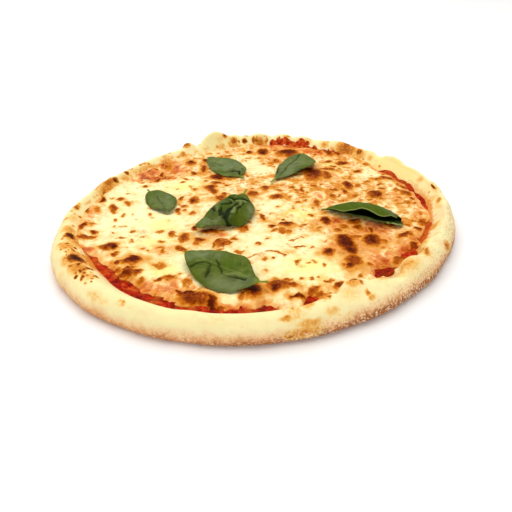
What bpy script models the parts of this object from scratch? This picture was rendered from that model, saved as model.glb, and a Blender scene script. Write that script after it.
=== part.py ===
"""Margherita pizza, whole and uncut: a baked dough base with a raised uneven rim, a thin layer of
tomato sauce, a sheet of melted mozzarella with browned blisters, and six fresh basil leaves.

Metres, +Z up, the front toward -Y. The underside is flat and lies on z = 0.
"""

import bmesh
import bpy
from math import atan2, cos, exp, hypot, log, pi, radians, sin, sqrt
from mathutils import Vector, noise

MM = 0.001

# Outline of the crust: a hand-stretched disc, slightly oval
OUTER_RADIUS = 142.0 * MM
OVAL = 7.0 * MM                  # longer from front left to back right
OVAL_TURN = radians(48)
THREE_LOBES = 2.3 * MM
THREE_TURN = radians(-22)
FOUR_LOBES = 1.2 * MM
FOUR_TURN = radians(11)
LEFT_BULGE = 2.2 * MM            # a fuller stretch on the left
LEFT_BULGE_BEARING = radians(196)
LEFT_BULGE_SPREAD = radians(30)
FRONT_FLAT = 1.6 * MM            # and a flatter one in front
FRONT_FLAT_BEARING = radians(262)
FRONT_FLAT_SPREAD = radians(28)
EDGE_UNEVEN = 0.9 * MM           # small swells of the outline
EDGE_UNEVEN_LENGTH = 21.0 * MM

# Dough: base thickness and rim
BASE_TOP = 4.5 * MM
RIM_TOP = 16.8 * MM
RIM_UNEVEN = 1.1 * MM
RIM_UNEVEN_LENGTH = 17.0 * MM
RIM_WIDTH = 23.0 * MM            # from the outline to the foot of the rim's inner slope
RIM_CORE = 11.0 * MM             # middle of the rim inside the outline
RIM_CORE_HEIGHT = 5.0 * MM
RIM_BELLY = 7.0 * MM             # height at which the rim is widest
SLOPE_SHARE = 0.42               # share of the width taken by the inner slope
SLOPE_STEEP = 1.17               # rise of the slope at its foot
SLOPE_EASE = 12.0                # and how fast it eases, for each metre outward
# Where the rim is wider or, below zero, narrower: bearing, half spread, difference
RIM_WIDER = (
    (160.0, 34.0, -5.0),
    (212.0, 20.0, 5.0),
    (298.0, 20.0, 4.0),
    (20.0, 30.0, -6.0),
)
SKIN_UNEVEN = 0.55 * MM          # dimples of the baked skin
SKIN_UNEVEN_LENGTH = 9.0 * MM
COVERED_SHARE = 0.3              # share of the width where the filling hides the slope
SLOPE_UNEVEN_SHARE = 0.35        # above it the slope is this much as uneven as the rim
FLAT_BELOW = 3.0 * MM            # the rim is even below this height, so that the pizza lies flat
FULL_ABOVE = 12.0 * MM           # and at its most uneven above this one

# Levels of the filling, with a fine gap between layers
GAP = 0.3 * MM
SLOPE_GAP = 2.5 * GAP            # sideways, from the filling to the rim's slope
SAUCE_TOP = 6.3 * MM
SAUCE_CREEP = 2.4 * MM           # height its bare edge climbs on the rim's slope
SAUCE_BARE_LEAST = 1.5 * MM      # width of its outer ring where the cheese covers it
SAUCE_BARE_FULL = 5.5 * MM       # width from which it is as lumpy as it gets
SAUCE_LUMP = 1.3 * MM
SAUCE_LUMP_LENGTH = 8.0 * MM
CHEESE_LOW = SAUCE_TOP + GAP
CHEESE_CLEAR = 0.5 * MM          # sideways, from its edge to the lumps of bare sauce
CHEESE_TOP = 9.6 * MM
CHEESE_EDGE_TOP = 8.6 * MM
CHEESE_OVERHANG = 0.9 * MM
CHEESE_ROUNDING = 12.0 * MM      # width over which the cheese thins toward its edge
CHEESE_CLIMB = 1.2 * MM          # extra height of the edge where it has run up the rim's slope
CHEESE_CREEP = 2.8 * MM          # and still more at the back left
CHEESE_CREEP_BEARING = radians(150)
CHEESE_CLIMB_BARE = 2.0 * MM     # with this much bare sauce the edge lies on the sauce
CHEESE_SWELL = 0.9 * MM
CHEESE_SWELL_LENGTH = 34.0 * MM
CHEESE_RIPPLE = 0.8 * MM
CHEESE_RIPPLE_LENGTH = 11.0 * MM
CHEESE_LOBE = 2.6 * MM           # wander of the cheese edge
CHEESE_LOBE_LENGTH = 15.0 * MM

# Basil
LEAF_THICKNESS = 0.5 * MM
LEAF_STEM_HALF = 0.8 * MM
LEAF_STEM_SHARE = 0.09           # of the length
LEAF_FULLNESS = 0.72             # below 1 the blade is fuller toward its ends
LEAF_FOLD = 1.6
LEAF_BEND_PIECES = 12
LEAF_STIFF_BELOW = 8.0 * MM      # a narrower half is bent less
LEAF_WAVY_ABOVE = 6.0 * MM       # and a narrower one is less wavy
LEAF_WAVE_LENGTH = 13.0 * MM
LEAF_WAVE_RAISE = 0.6            # the waves stand this share of the crumple above the cheese
LEAF_RUFFLE = 0.4                # waves along the edge, as a share of the crumple
LEAF_RUFFLE_TURNS = 9.0          # radians of them from stem end to tip
LEAF_REST_REACH = 9.0 * MM       # a leaf bridges hollows narrower than this

CRUST_STEPS = 144
SAUCE_STEPS = 96
CHEESE_CELLS = 50
LEAF_LENGTHWISE = 12
LEAF_CROSSWISE = 10

# A bubble is a dome that runs out a little past its radius
BUBBLE_SKIRT = 1.25
BUBBLE_ROUND = 0.9

# Bubbles and lumps of the rim: bearing in degrees, distance of the peak inside the outline, height
# of the peak before it swells, radius, swell
RIM_BUBBLES = (
    (106.5, 8.5, 15.5, 11.5, 8.0),
    (99.2, 9.0, 15.5, 6.0, 3.0),
    (94.6, 9.5, 16.0, 4.5, 1.6),
    (88.6, 11.5, 15.5, 8.5, 3.4),
    (118.0, 6.5, 15.0, 5.0, 3.6),
    (80.0, 8.0, 15.5, 7.0, 2.8),
    (72.0, 10.0, 15.5, 7.0, 1.8),
    (58.0, 6.0, 15.0, 9.5, 1.8),
    (41.0, 7.0, 15.5, 6.0, -2.0),
    (35.0, 6.0, 15.0, 9.0, 1.8),
    (161.0, 9.0, 15.5, 11.0, 1.8),
    (328.3, 14.0, 14.5, 7.0, 3.2),
    (320.0, 12.0, 15.0, 9.0, 2.0),
    (303.0, 16.5, 13.5, 8.0, 3.0),
    (288.5, 14.5, 14.0, 8.0, 2.2),
    (277.0, 9.0, 16.0, 9.0, 1.0),
    (208.0, 12.5, 15.5, 9.0, 1.6),
    (241.0, 8.0, 15.5, 14.0, 0.9),
    (11.0, 7.0, 15.0, 8.0, 1.2),
)

# Stretches where the cheese stops short of the rim and the sauce shows: bearing, half spread, width
SAUCE_STRETCHES = (
    (222.0, 13.0, 8.0),
    (242.0, 12.0, 6.5),
    (262.0, 12.0, 4.5),
    (284.0, 6.0, 4.0),
    (314.0, 6.0, 5.5),
    (329.0, 7.0, 5.0),
    (346.0, 9.0, 3.0),
    (8.0, 12.0, 2.4),
    (30.0, 9.0, 3.2),
)

# Browned blisters and folds of the cheese: x, y, half length, half width, turn in degrees, height
BLISTER_STEEP = 0.8
CHEESE_BLISTERS = (
    (-134.0, -31.0, 7.0, 5.0, 0.0, 1.4),
    (-101.0, -45.0, 7.0, 5.5, 20.0, 1.6),
    (-82.0, -63.0, 7.0, 5.5, 0.0, 1.6),
    (-85.0, -77.0, 9.0, 5.0, -20.0, 1.5),
    (-54.0, -88.0, 12.0, 7.0, 0.0, 1.5),
    (-37.0, -106.0, 11.0, 7.0, 10.0, 2.2),
    (-5.0, -104.0, 8.0, 7.0, 0.0, 1.8),
    (13.0, -94.0, 12.0, 6.5, -10.0, 1.8),
    (8.0, -66.0, 13.0, 10.0, 0.0, 1.8),
    (16.0, -21.0, 9.0, 5.5, 10.0, 1.5),
    (57.0, -48.0, 8.0, 15.0, 0.0, 1.8),
    (76.0, -44.0, 11.0, 12.0, 0.0, 2.0),
    (102.0, -38.0, 11.0, 6.0, 50.0, 1.5),
    (91.0, 28.0, 8.0, 7.0, 0.0, 1.6),
    (71.0, 46.0, 6.0, 9.0, 0.0, 1.4),
    (106.0, 54.0, 11.0, 7.0, 0.0, 1.4),
    (51.0, 66.0, 13.0, 12.0, 0.0, 2.0),
    (27.0, 112.0, 12.0, 9.0, 20.0, 2.2),
    (5.0, 111.0, 7.0, 9.0, 0.0, 1.8),
    (70.0, 108.0, 13.0, 8.0, -20.0, 1.6),
    (-26.0, 102.0, 9.0, 6.0, 0.0, 1.4),
    (-53.0, 90.0, 9.0, 10.0, 30.0, 1.6),
    (-121.0, 58.0, 8.0, 10.0, 0.0, 1.8),
    (-40.0, 48.0, 7.0, 10.0, 30.0, 1.4),
    (-50.0, 22.0, 9.0, 8.0, 0.0, 1.4),
    (-109.0, 12.0, 6.0, 10.0, 30.0, 1.3),
    (-27.0, -43.0, 8.0, 6.0, 0.0, 1.4),
    (-3.0, 31.0, 6.0, 7.0, 0.0, 1.4),
)


# Shape of the outline and of the rim

def angle_between(first, second):
    return abs((first - second + pi) % (2 * pi) - pi)


def hump(bearing, middle, spread):
    return exp(-(angle_between(bearing, middle) / spread) ** 2)


def swell(x, y, z, length, seed):
    return noise.noise(Vector((x / length + seed, y / length - seed, z / length)))


def outline_radius(bearing):
    radius = OUTER_RADIUS
    radius += OVAL * cos(2 * (bearing - OVAL_TURN))
    radius += THREE_LOBES * cos(3 * (bearing - THREE_TURN))
    radius += FOUR_LOBES * cos(4 * (bearing - FOUR_TURN))
    radius += LEFT_BULGE * hump(bearing, LEFT_BULGE_BEARING, LEFT_BULGE_SPREAD)
    radius -= FRONT_FLAT * hump(bearing, FRONT_FLAT_BEARING, FRONT_FLAT_SPREAD)
    x, y = OUTER_RADIUS * cos(bearing), OUTER_RADIUS * sin(bearing)
    return radius + EDGE_UNEVEN * swell(x, y, 0.0, EDGE_UNEVEN_LENGTH, 3.1)


def foot_radius(bearing):
    """Where the rim's inner slope leaves the flat of the base."""
    width = RIM_WIDTH
    for degrees, spread, more in RIM_WIDER:
        width += more * MM * hump(bearing, radians(degrees), radians(spread))
    return outline_radius(bearing) - width


def slope_rise(reach):
    """Height of the inner slope above the base, this far outside its foot."""
    return SLOPE_STEEP * reach - SLOPE_EASE * reach * reach


def slope_reach(height):
    """How far outside its foot the inner slope reaches this height above the base."""
    return (SLOPE_STEEP - sqrt(SLOPE_STEEP ** 2 - 4 * SLOPE_EASE * height)) / (2 * SLOPE_EASE)


# Profile of the dough from the foot of the slope, out over the rim and back under it: distance
# from the foot as a share of the rim's width, and height
RIM_PROFILE = tuple(
    (share, BASE_TOP + slope_rise(share * RIM_WIDTH)) for share in (0.0, 0.13, 0.27, SLOPE_SHARE)
) + (
    (0.57, RIM_TOP),
    (0.72, 16.2 * MM),
    (0.85, 13.9 * MM),
    (0.95, 10.6 * MM),
    (1.00, 7.0 * MM),
    (0.985, 3.6 * MM),
    (0.93, 1.2 * MM),
    (0.84, 0.0),
)


def turned(name, profile, steps):
    """A closed round body: a line from the axis out and back to the axis, turned once round Z."""
    line = bpy.data.meshes.new(name + "_line")
    points = [(radius, 0.0, height) for radius, height in profile]
    line.from_pydata(points, [(k, k + 1) for k in range(len(points) - 1)], [])
    holder = bpy.data.objects.new(name + "_line", line)
    bpy.context.scene.collection.objects.link(holder)
    screw = holder.modifiers.new("Turn", "SCREW")
    screw.axis = "Z"
    screw.angle = 2 * pi
    screw.steps = steps
    screw.render_steps = steps
    screw.use_merge_vertices = True
    screw.merge_threshold = 0.0001
    depsgraph = bpy.context.evaluated_depsgraph_get()
    mesh = bpy.data.meshes.new_from_object(holder.evaluated_get(depsgraph))
    mesh.name = name
    bpy.data.objects.remove(holder)
    shape = bmesh.new()
    shape.from_mesh(mesh)
    bmesh.ops.recalc_face_normals(shape, faces=shape.faces)
    shape.to_mesh(mesh)
    shape.free()
    return mesh


# Crust

def push_bubble(point, bearing, inside, height, radius, tall):
    """Moves a point of the rim out over a bubble, away from the middle of the rim."""
    outline = outline_radius(bearing)
    way = Vector((cos(bearing), sin(bearing), 0.0))
    peak = way * (outline - inside) + Vector((0.0, 0.0, height))
    core = way * (outline - RIM_CORE) + Vector((0.0, 0.0, RIM_CORE_HEIGHT))
    away = (peak - core).normalized()
    distance = (point - peak).length / (BUBBLE_SKIRT * radius)
    dome = max(0.0, 1.0 - distance * distance) ** BUBBLE_ROUND
    return point + away * tall * dome


def rim_place(share, bearing, height):
    """A point of the rim, this share of the way from the foot of its slope to the outline. The
    slope keeps one steepness whatever the rim's width."""
    inner, outer = foot_radius(bearing), outline_radius(bearing)
    slope_end = SLOPE_SHARE * RIM_WIDTH
    beyond = max(0.0, share - SLOPE_SHARE) / (1.0 - SLOPE_SHARE)
    reach = min(share, SLOPE_SHARE) * RIM_WIDTH + beyond * (outer - inner - slope_end)
    return Vector(((inner + reach) * cos(bearing), (inner + reach) * sin(bearing), height))


def make_uneven(point, even_point, bearing, ease):
    """Swells, dimples and bubbles of the baked dough, each ease times as deep."""
    x, y, z = even_point
    lift = RIM_UNEVEN * swell(point.x, point.y, 0.0, RIM_UNEVEN_LENGTH, 7.7)
    point.z += ease * lift * min(1.0, (z - FLAT_BELOW) / (FULL_ABOVE - FLAT_BELOW))
    tilt = (z - RIM_BELLY) / (RIM_TOP - RIM_BELLY)
    outward = Vector((cos(bearing), sin(bearing), tilt)).normalized()
    point += ease * outward * SKIN_UNEVEN * swell(x, y, z, SKIN_UNEVEN_LENGTH, 1.9)
    for degrees, inside, height, radius, tall in RIM_BUBBLES:
        sizes = (inside * MM, height * MM, radius * MM, ease * tall * MM)
        point = push_bubble(point, radians(degrees), *sizes)
    return point


def make_crust():
    foot = OUTER_RADIUS - RIM_WIDTH
    rings = [(0.0, BASE_TOP), (foot / 2, BASE_TOP)]
    rings += [(foot + share * RIM_WIDTH, height) for share, height in RIM_PROFILE]
    rings += [(0.0, 0.0)]
    mesh = turned("crust", rings, CRUST_STEPS)
    for vertex in mesh.vertices:
        x, y, z = vertex.co
        radius, bearing = hypot(x, y), atan2(y, x)
        if radius <= foot:
            inner = foot_radius(bearing)
            vertex.co.x, vertex.co.y = x * inner / foot, y * inner / foot
            continue
        share = (radius - foot) / RIM_WIDTH
        point = rim_place(share, bearing, z)
        covered = share < COVERED_SHARE and z > BASE_TOP
        if z > FLAT_BELOW and not covered:
            on_slope = share < SLOPE_SHARE + 0.01
            point = make_uneven(point, (x, y, z), bearing, SLOPE_UNEVEN_SHARE if on_slope else 1.0)
        vertex.co = point
    return mesh


# Sauce and cheese

def sauce_show(bearing):
    """Width of sauce left bare between the cheese and the rim."""
    width = 0.0
    for degrees, spread, bare in SAUCE_STRETCHES:
        off = angle_between(bearing, radians(degrees)) / radians(spread)
        width = max(width, bare * MM * exp(-off * off))
    return width


def cheese_climb(bearing):
    """1 where the cheese runs up onto the rim's slope, 0 where the sauce shows."""
    return max(0.0, 1.0 - sauce_show(bearing) / CHEESE_CLIMB_BARE)


def cheese_reach(bearing):
    """Radius of the cheese edge at its underside."""
    climb = cheese_climb(bearing)
    x, y = OUTER_RADIUS * cos(bearing), OUTER_RADIUS * sin(bearing)
    wander = CHEESE_LOBE * (0.5 - 0.5 * swell(x, y, 0.0, CHEESE_LOBE_LENGTH, 5.3))
    slope_room = slope_reach(CHEESE_LOW - BASE_TOP) - 2 * GAP
    return foot_radius(bearing) + climb * slope_room - (1.0 - climb) * wander - sauce_show(bearing)


def cheese_edge_height(bearing):
    """Height of the cheese at its edge: higher where it has run up the slope at the back."""
    behind = 0.5 + 0.5 * cos(bearing - CHEESE_CREEP_BEARING)
    return CHEESE_EDGE_TOP + cheese_climb(bearing) * (CHEESE_CLIMB + behind * CHEESE_CREEP)


def cheese_brink(bearing):
    """Radius of the cheese edge at its top."""
    climb = cheese_climb(bearing)
    on_slope = slope_reach(cheese_edge_height(bearing) - BASE_TOP) - 2 * GAP
    free = cheese_reach(bearing) + CHEESE_OVERHANG
    return climb * (foot_radius(bearing) + on_slope) + (1.0 - climb) * free


def blister_height(x, y):
    """The tallest blister over a place."""
    height = 0.0
    for middle_x, middle_y, half_length, half_width, degrees, tall in CHEESE_BLISTERS:
        right, back = x / MM - middle_x, y / MM - middle_y
        turn = radians(degrees)
        along = (right * cos(turn) + back * sin(turn)) / half_length
        across = (back * cos(turn) - right * sin(turn)) / half_width
        height = max(height, tall * MM * exp(-BLISTER_STEEP * (along * along + across * across)))
    return height


def cheese_height(x, y):
    height = CHEESE_TOP
    height += CHEESE_SWELL * swell(x, y, 0.0, CHEESE_SWELL_LENGTH, 2.2)
    height += CHEESE_RIPPLE * swell(x, y, 0.0, CHEESE_RIPPLE_LENGTH, 9.4)
    height += blister_height(x, y)
    bearing = atan2(y, x)
    inside = cheese_brink(bearing) - hypot(x, y)
    share = sin(max(0.0, min(1.0, inside / CHEESE_ROUNDING)) * pi / 2)
    edge = cheese_edge_height(bearing)
    return edge + (height - edge) * share


# Rings of the sauce on the turned body, from its middle out and back under it. Of the bare
# sauce, each ring lies this share of its width inside the outer edge and is this lumpy
SAUCE_FOOT = OUTER_RADIUS - RIM_WIDTH
SAUCE_BARE_RINGS = (
    (SAUCE_FOOT - 6.0 * MM, 1.00, 0.0),
    (SAUCE_FOOT - 4.0 * MM, 0.68, 1.0),
    (SAUCE_FOOT - 2.0 * MM, 0.30, 1.0),
)
SAUCE_EDGE_RING = SAUCE_FOOT + 1.0 * MM


def sauce_edge(bearing, height):
    """Radius at which the sauce meets the rim's slope."""
    return foot_radius(bearing) + slope_reach(height - BASE_TOP) - SLOPE_GAP


def bare_sauce(bearing):
    """Width of the sauce outside the cheese, and how lumpy it is, from 0 to 1."""
    bare = sauce_edge(bearing, SAUCE_TOP) - cheese_reach(bearing) - CHEESE_CLEAR
    room = (bare - SAUCE_BARE_LEAST) / (SAUCE_BARE_FULL - SAUCE_BARE_LEAST)
    return max(SAUCE_BARE_LEAST, bare), max(0.0, min(1.0, room))


def make_sauce():
    low = BASE_TOP + GAP
    rings = [(0.0, SAUCE_TOP), (SAUCE_FOOT / 2, SAUCE_TOP)]
    rings += [(radius, SAUCE_TOP) for radius, _, _ in SAUCE_BARE_RINGS]
    rings += [(SAUCE_EDGE_RING, SAUCE_TOP), (SAUCE_FOOT, low), (0.0, low)]
    mesh = turned("sauce", rings, SAUCE_STEPS)
    for vertex in mesh.vertices:
        x, y, height = vertex.co
        turned_radius, bearing = hypot(x, y), atan2(y, x)
        radius = turned_radius * foot_radius(bearing) / SAUCE_FOOT
        width, room = bare_sauce(bearing)
        if height < SAUCE_TOP - GAP:
            if turned_radius > 0.0:
                radius = foot_radius(bearing) - SLOPE_GAP
        elif turned_radius > SAUCE_FOOT:
            height = SAUCE_TOP + SAUCE_CREEP * room
            radius = sauce_edge(bearing, height)
        for ring, share, lumpy in SAUCE_BARE_RINGS:
            if height > low + GAP and abs(turned_radius - ring) < GAP:
                radius = sauce_edge(bearing, SAUCE_TOP) - share * width
                lump = 0.55 + 0.45 * swell(x, y, 0.0, SAUCE_LUMP_LENGTH, 4.6)
                height = SAUCE_TOP + SAUCE_LUMP * lump * room * lumpy
        vertex.co = Vector((radius * cos(bearing), radius * sin(bearing), height))
    return mesh


def make_cheese():
    shape = bmesh.new()
    bmesh.ops.create_grid(shape, x_segments=CHEESE_CELLS, y_segments=CHEESE_CELLS, size=1.0)
    for vertex in shape.verts:
        a, b = vertex.co.x, vertex.co.y
        # a square bent to a disc with even cells
        u, v = a * sqrt(1 - b * b / 2), b * sqrt(1 - a * a / 2)
        reach = hypot(u, v)
        bearing = atan2(v, u)
        limit = cheese_brink(bearing)
        vertex.co = Vector((reach * limit * cos(bearing), reach * limit * sin(bearing), 0.0))
    for vertex in shape.verts:
        vertex.co.z = cheese_height(vertex.co.x, vertex.co.y)
    rim = [edge for edge in shape.edges if edge.is_boundary]
    extruded = bmesh.ops.extrude_edge_only(shape, edges=rim)
    ring = [item for item in extruded["geom"] if isinstance(item, bmesh.types.BMVert)]
    for vertex in ring:
        bearing = atan2(vertex.co.y, vertex.co.x)
        reach = cheese_reach(bearing)
        vertex.co = Vector((reach * cos(bearing), reach * sin(bearing), CHEESE_LOW))
    bottom = [item for item in extruded["geom"] if isinstance(item, bmesh.types.BMEdge)]
    bmesh.ops.contextual_create(shape, geom=bottom)
    bmesh.ops.recalc_face_normals(shape, faces=shape.faces)
    bmesh.ops.triangulate(shape, faces=shape.faces)
    mesh = bpy.data.meshes.new("cheese")
    shape.to_mesh(mesh)
    shape.free()
    return mesh


# Basil: every leaf is laid out from its stem end to its tip. Left and right are the half widths,
# and widest says where they are reached. Each half of the blade leaves the midrib at its own angle
# (rise) and goes on bending by its own amount (curl), both in degrees. Bow bends the midrib
# sideways, crumple is the depth of the waves, and fold bends the left half more near the midrib

LEAVES = {
    "basil_front": dict(
        stem=(4.0, -99.0), tip=(-49.3, -60.8), left=18.7, right=16.4, widest=0.41, bow=2.7,
        rise=(4.0, 14.0), curl=(-33.0, -18.0), crumple=1.5, seed=1.0),
    "basil_centre": dict(
        stem=(-9.5, 28.5), tip=(-40.5, -28.8), left=20.8, right=16.6, widest=0.49, bow=3.9,
        rise=(40.0, 17.0), curl=(-84.0, -51.0), crumple=2.4, seed=2.0),
    "basil_left": dict(
        stem=(-88.2, 37.6), tip=(-67.4, -0.2), left=13.4, right=9.9, widest=0.47, bow=1.0,
        rise=(20.0, 18.0), curl=(-38.0, -47.0), crumple=1.0, seed=3.0),
    "basil_back_left": dict(
        stem=(-11.7, 61.6), tip=(-43.7, 102.7), left=11.6, right=16.7, widest=0.41, bow=1.3,
        rise=(0.0, 15.0), curl=(0.0, -22.0), crumple=1.4, seed=4.0),
    "basil_back_right": dict(
        stem=(10.1, 49.2), tip=(40.5, 105.1), left=11.4, right=19.7, widest=0.61, bow=-1.2,
        rise=(9.0, 8.0), curl=(-23.0, -3.0), crumple=0.8, seed=5.0),
    "basil_right": dict(
        stem=(42.0, 3.0), tip=(104.5, -18.9), left=26.0, right=13.8, widest=0.54, bow=8.6,
        rise=(79.0, 10.0), curl=(127.0, -3.0), crumple=0.5, seed=6.0, fold=1.4),
}


def blade_half_width(along, widest):
    """Share of the full half width, this share of the way from stem end to tip."""
    if along < LEAF_STEM_SHARE:
        return 0.0
    blade = min(1.0, (along - LEAF_STEM_SHARE) / (1 - LEAF_STEM_SHARE))
    bend = log(0.5) / log(widest)
    return max(0.0, sin(pi * blade ** bend)) ** LEAF_FULLNESS


def bent_half(share, rise, curl, fold):
    """Sideways and upward reach of half a blade that bends as it goes, this share of the way from
    the midrib to the edge, both as shares of its flat width. Fold above 1 bends it more near the
    midrib."""
    out, up = 0.0, 0.0
    for piece in range(LEAF_BEND_PIECES):
        portion = share * (piece + 0.5) / LEAF_BEND_PIECES
        angle = rise + curl * (1.0 - (1.0 - portion) ** fold)
        out += cos(angle) * share / LEAF_BEND_PIECES
        up += sin(angle) * share / LEAF_BEND_PIECES
    return out, up


def leaf_point(along, side, stem, tip, left, right, widest, bow, rise, curl, crumple, seed,
               fold=LEAF_FOLD):
    """A point of the blade before it is laid on the cheese: along runs from 0 at the stem end to 1
    at the tip, side from -1 at the right edge to 1 at the left one."""
    start = Vector((*stem, 0.0)) * MM
    end = Vector((*tip, 0.0)) * MM
    forward = (end - start).normalized()
    sideways = Vector((-forward.y, forward.x, 0.0))
    is_left = side > 0
    width = (left if is_left else right) * MM * blade_half_width(along, widest)
    width = max(width, LEAF_STEM_HALF)
    stiff = min(1.0, width / LEAF_STIFF_BELOW)
    half = 0 if is_left else 1
    bends = (radians(rise[half]) * stiff, radians(curl[half]) * stiff)
    out, up = bent_half(abs(side), *bends, fold if is_left else LEAF_FOLD)
    place = start + (end - start) * along
    place += sideways * ((out if is_left else -out) * width + bow * MM * sin(pi * along))
    wave = swell(place.x, place.y, 0.0, LEAF_WAVE_LENGTH, 20.0 + seed)
    wave += LEAF_RUFFLE * abs(side) * sin(LEAF_RUFFLE_TURNS * along + 2.0 * seed)
    wave = crumple * MM * (wave + LEAF_WAVE_RAISE)
    height = up * width + wave * min(1.0, width / LEAF_WAVY_ABOVE)
    return Vector((place.x, place.y, height))


def make_leaf(name, cheese_points, leaf):
    shape = bmesh.new()
    bmesh.ops.create_grid(shape, x_segments=LEAF_LENGTHWISE, y_segments=LEAF_CROSSWISE, size=1.0)
    for vertex in shape.verts:
        vertex.co = leaf_point(0.5 + 0.5 * vertex.co.x, vertex.co.y, **leaf)
    lowest = min(vertex.co.z for vertex in shape.verts)
    for vertex in shape.verts:
        x, y = vertex.co.x, vertex.co.y
        under = max(z for px, py, z in cheese_points if hypot(px - x, py - y) < LEAF_REST_REACH)
        vertex.co.z = vertex.co.z - min(0.0, lowest) + under + GAP
    bmesh.ops.triangulate(shape, faces=shape.faces)
    mesh = bpy.data.meshes.new(name)
    shape.to_mesh(mesh)
    shape.free()
    return mesh


# Materials and assembly

def finish_material(name, colour, roughness):
    material = bpy.data.materials.new(name)
    material.use_nodes = True
    shader = material.node_tree.nodes["Principled BSDF"]
    shader.inputs["Base Color"].default_value = (*colour, 1.0)
    shader.inputs["Roughness"].default_value = roughness
    return material


def main():
    for item in list(bpy.data.objects):
        bpy.data.objects.remove(item)
    collection = bpy.data.collections.new("margherita_pizza")
    bpy.context.scene.collection.children.link(collection)
    crust_finish = finish_material("baked crust", (0.80, 0.58, 0.33), 0.75)
    sauce_finish = finish_material("tomato sauce", (0.48, 0.05, 0.01), 0.3)
    cheese_finish = finish_material("melted mozzarella", (0.88, 0.68, 0.36), 0.4)

    cheese = make_cheese()
    cheese_points = [tuple(vertex.co) for vertex in cheese.vertices if vertex.co.z > CHEESE_LOW + GAP]
    meshes = [
        (make_crust(), crust_finish),
        (make_sauce(), sauce_finish),
        (cheese, cheese_finish),
    ]
    for name, leaf in LEAVES.items():
        leaf_finish = finish_material(name.replace("_", " "), (0.07, 0.14, 0.02), 0.45)
        meshes.append((make_leaf(name, cheese_points, leaf), leaf_finish))

    for mesh, material in meshes:
        mesh.materials.append(material)
        item = bpy.data.objects.new(mesh.name, mesh)
        collection.objects.link(item)
        if mesh.name.startswith("basil"):
            solid = item.modifiers.new("Blade", "SOLIDIFY")
            solid.thickness = LEAF_THICKNESS
            solid.offset = 1.0
            solid.use_even_offset = False

    # The middle of the outline's box becomes the origin
    crust = bpy.data.objects["crust"].data
    xs = [vertex.co.x for vertex in crust.vertices]
    ys = [vertex.co.y for vertex in crust.vertices]
    middle = Vector(((min(xs) + max(xs)) / 2, (min(ys) + max(ys)) / 2, 0.0))
    for mesh, _ in meshes:
        for vertex in mesh.vertices:
            vertex.co -= middle


main()
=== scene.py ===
"""The looks of a whole margherita pizza: baked dough with a toasted and floured rim, tomato sauce,
melted and browned mozzarella and fresh basil leaves, on a pale table in soft light.

Shapes are worked out in millimetres round the middle of the dough, +X to the right and -Y toward
the front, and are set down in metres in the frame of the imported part. The tables give bearings in
degrees from +X toward +Y.
"""

from math import cos, log, pi, radians, sin

import bpy
import numpy as np
from mathutils import Matrix, noise


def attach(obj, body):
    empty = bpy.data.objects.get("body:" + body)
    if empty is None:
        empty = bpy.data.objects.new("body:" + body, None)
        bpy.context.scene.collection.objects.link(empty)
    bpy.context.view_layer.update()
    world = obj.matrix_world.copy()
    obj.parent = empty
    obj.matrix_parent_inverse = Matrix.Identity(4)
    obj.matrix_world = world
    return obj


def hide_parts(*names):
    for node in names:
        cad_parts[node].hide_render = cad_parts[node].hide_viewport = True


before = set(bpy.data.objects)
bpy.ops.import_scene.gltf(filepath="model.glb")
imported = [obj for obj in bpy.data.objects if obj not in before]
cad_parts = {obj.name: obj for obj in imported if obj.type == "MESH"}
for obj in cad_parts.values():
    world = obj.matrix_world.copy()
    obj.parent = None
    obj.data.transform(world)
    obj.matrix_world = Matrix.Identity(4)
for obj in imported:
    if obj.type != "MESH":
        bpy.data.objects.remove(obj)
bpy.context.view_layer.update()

MM = 0.001
MIDDLE = np.array((-0.62, 2.50, 0.0))    # of the outline's box, from the middle of the dough
SEED = 7

# Outline of the crust, as in the solid: lobes as their number, height and turn, then a bulge and a
# flat stretch as their height, bearing and half spread
OUTER_RADIUS = 142.0
LOBES = ((2, 7.0, 48), (3, 2.3, -22), (4, 1.2, 11))
LEFT_BULGE, FRONT_FLAT = (2.2, 196, 30), (1.6, 262, 28)
EDGE_UNEVEN, EDGE_UNEVEN_LENGTH = 0.9, 21.0

# Dough: base and rim
BASE_TOP = 4.5
RIM_TOP = 16.8
RIM_UNEVEN, RIM_UNEVEN_LENGTH = 1.1, 17.0
RIM_WIDTH = 23.0
RIM_CORE, RIM_CORE_HEIGHT = 11.0, 5.0
RIM_BELLY = 7.0
SLOPE_SHARE = 0.42
SLOPE_STEEP, SLOPE_EASE = 1.17, 0.012
FLAT_BELOW, FULL_ABOVE = 3.0, 12.0
SKIN_UNEVEN, SKIN_UNEVEN_LENGTH = 0.55, 9.0
# Where the rim is wider or, below zero, narrower: bearing, half spread, difference
RIM_WIDER = ((160, 34, -5), (212, 20, 5), (298, 20, 4), (20, 30, -6))

# Sauce and cheese
SAUCE_TOP = 6.3
SAUCE_LUMP, SAUCE_LUMP_LENGTH, PULP_RAISED = 1.3, 8.0, 1.6
SAUCE_FILM, SAUCE_FILM_LUMPY = 0.9, 0.5
SAUCE_UNDER, SAUCE_BOTTOM = 4.0, 0.2     # runs on under the cheese, and ends this far above the base
CHEESE_LOW = 6.6
CHEESE_TOP = 9.6
CHEESE_EDGE_TOP = 8.6
CHEESE_BOTTOM = SAUCE_TOP - 0.6
CHEESE_OVERHANG = 0.9
CHEESE_SHORT, CHEESE_THIN = 0.6, 1.2     # it ends short of a slope it isn't stuck to, and thin there
RUN_OUT, RUN_OUT_RAGGED, RAGGED_LIFT = 0.36, 0.45, 0.9      # share of the bare sauce it runs out over
CHEESE_ROUNDING = 12.0
CHEESE_CLIMB, CHEESE_CLIMB_BARE = 1.2, 2.0
CHEESE_CREEP, CHEESE_CREEP_BEARING = 2.8, radians(150)
CHEESE_SWELL, CHEESE_SWELL_LENGTH = 0.9, 34.0
CHEESE_RIPPLE, CHEESE_RIPPLE_LENGTH = 0.8, 11.0
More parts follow.
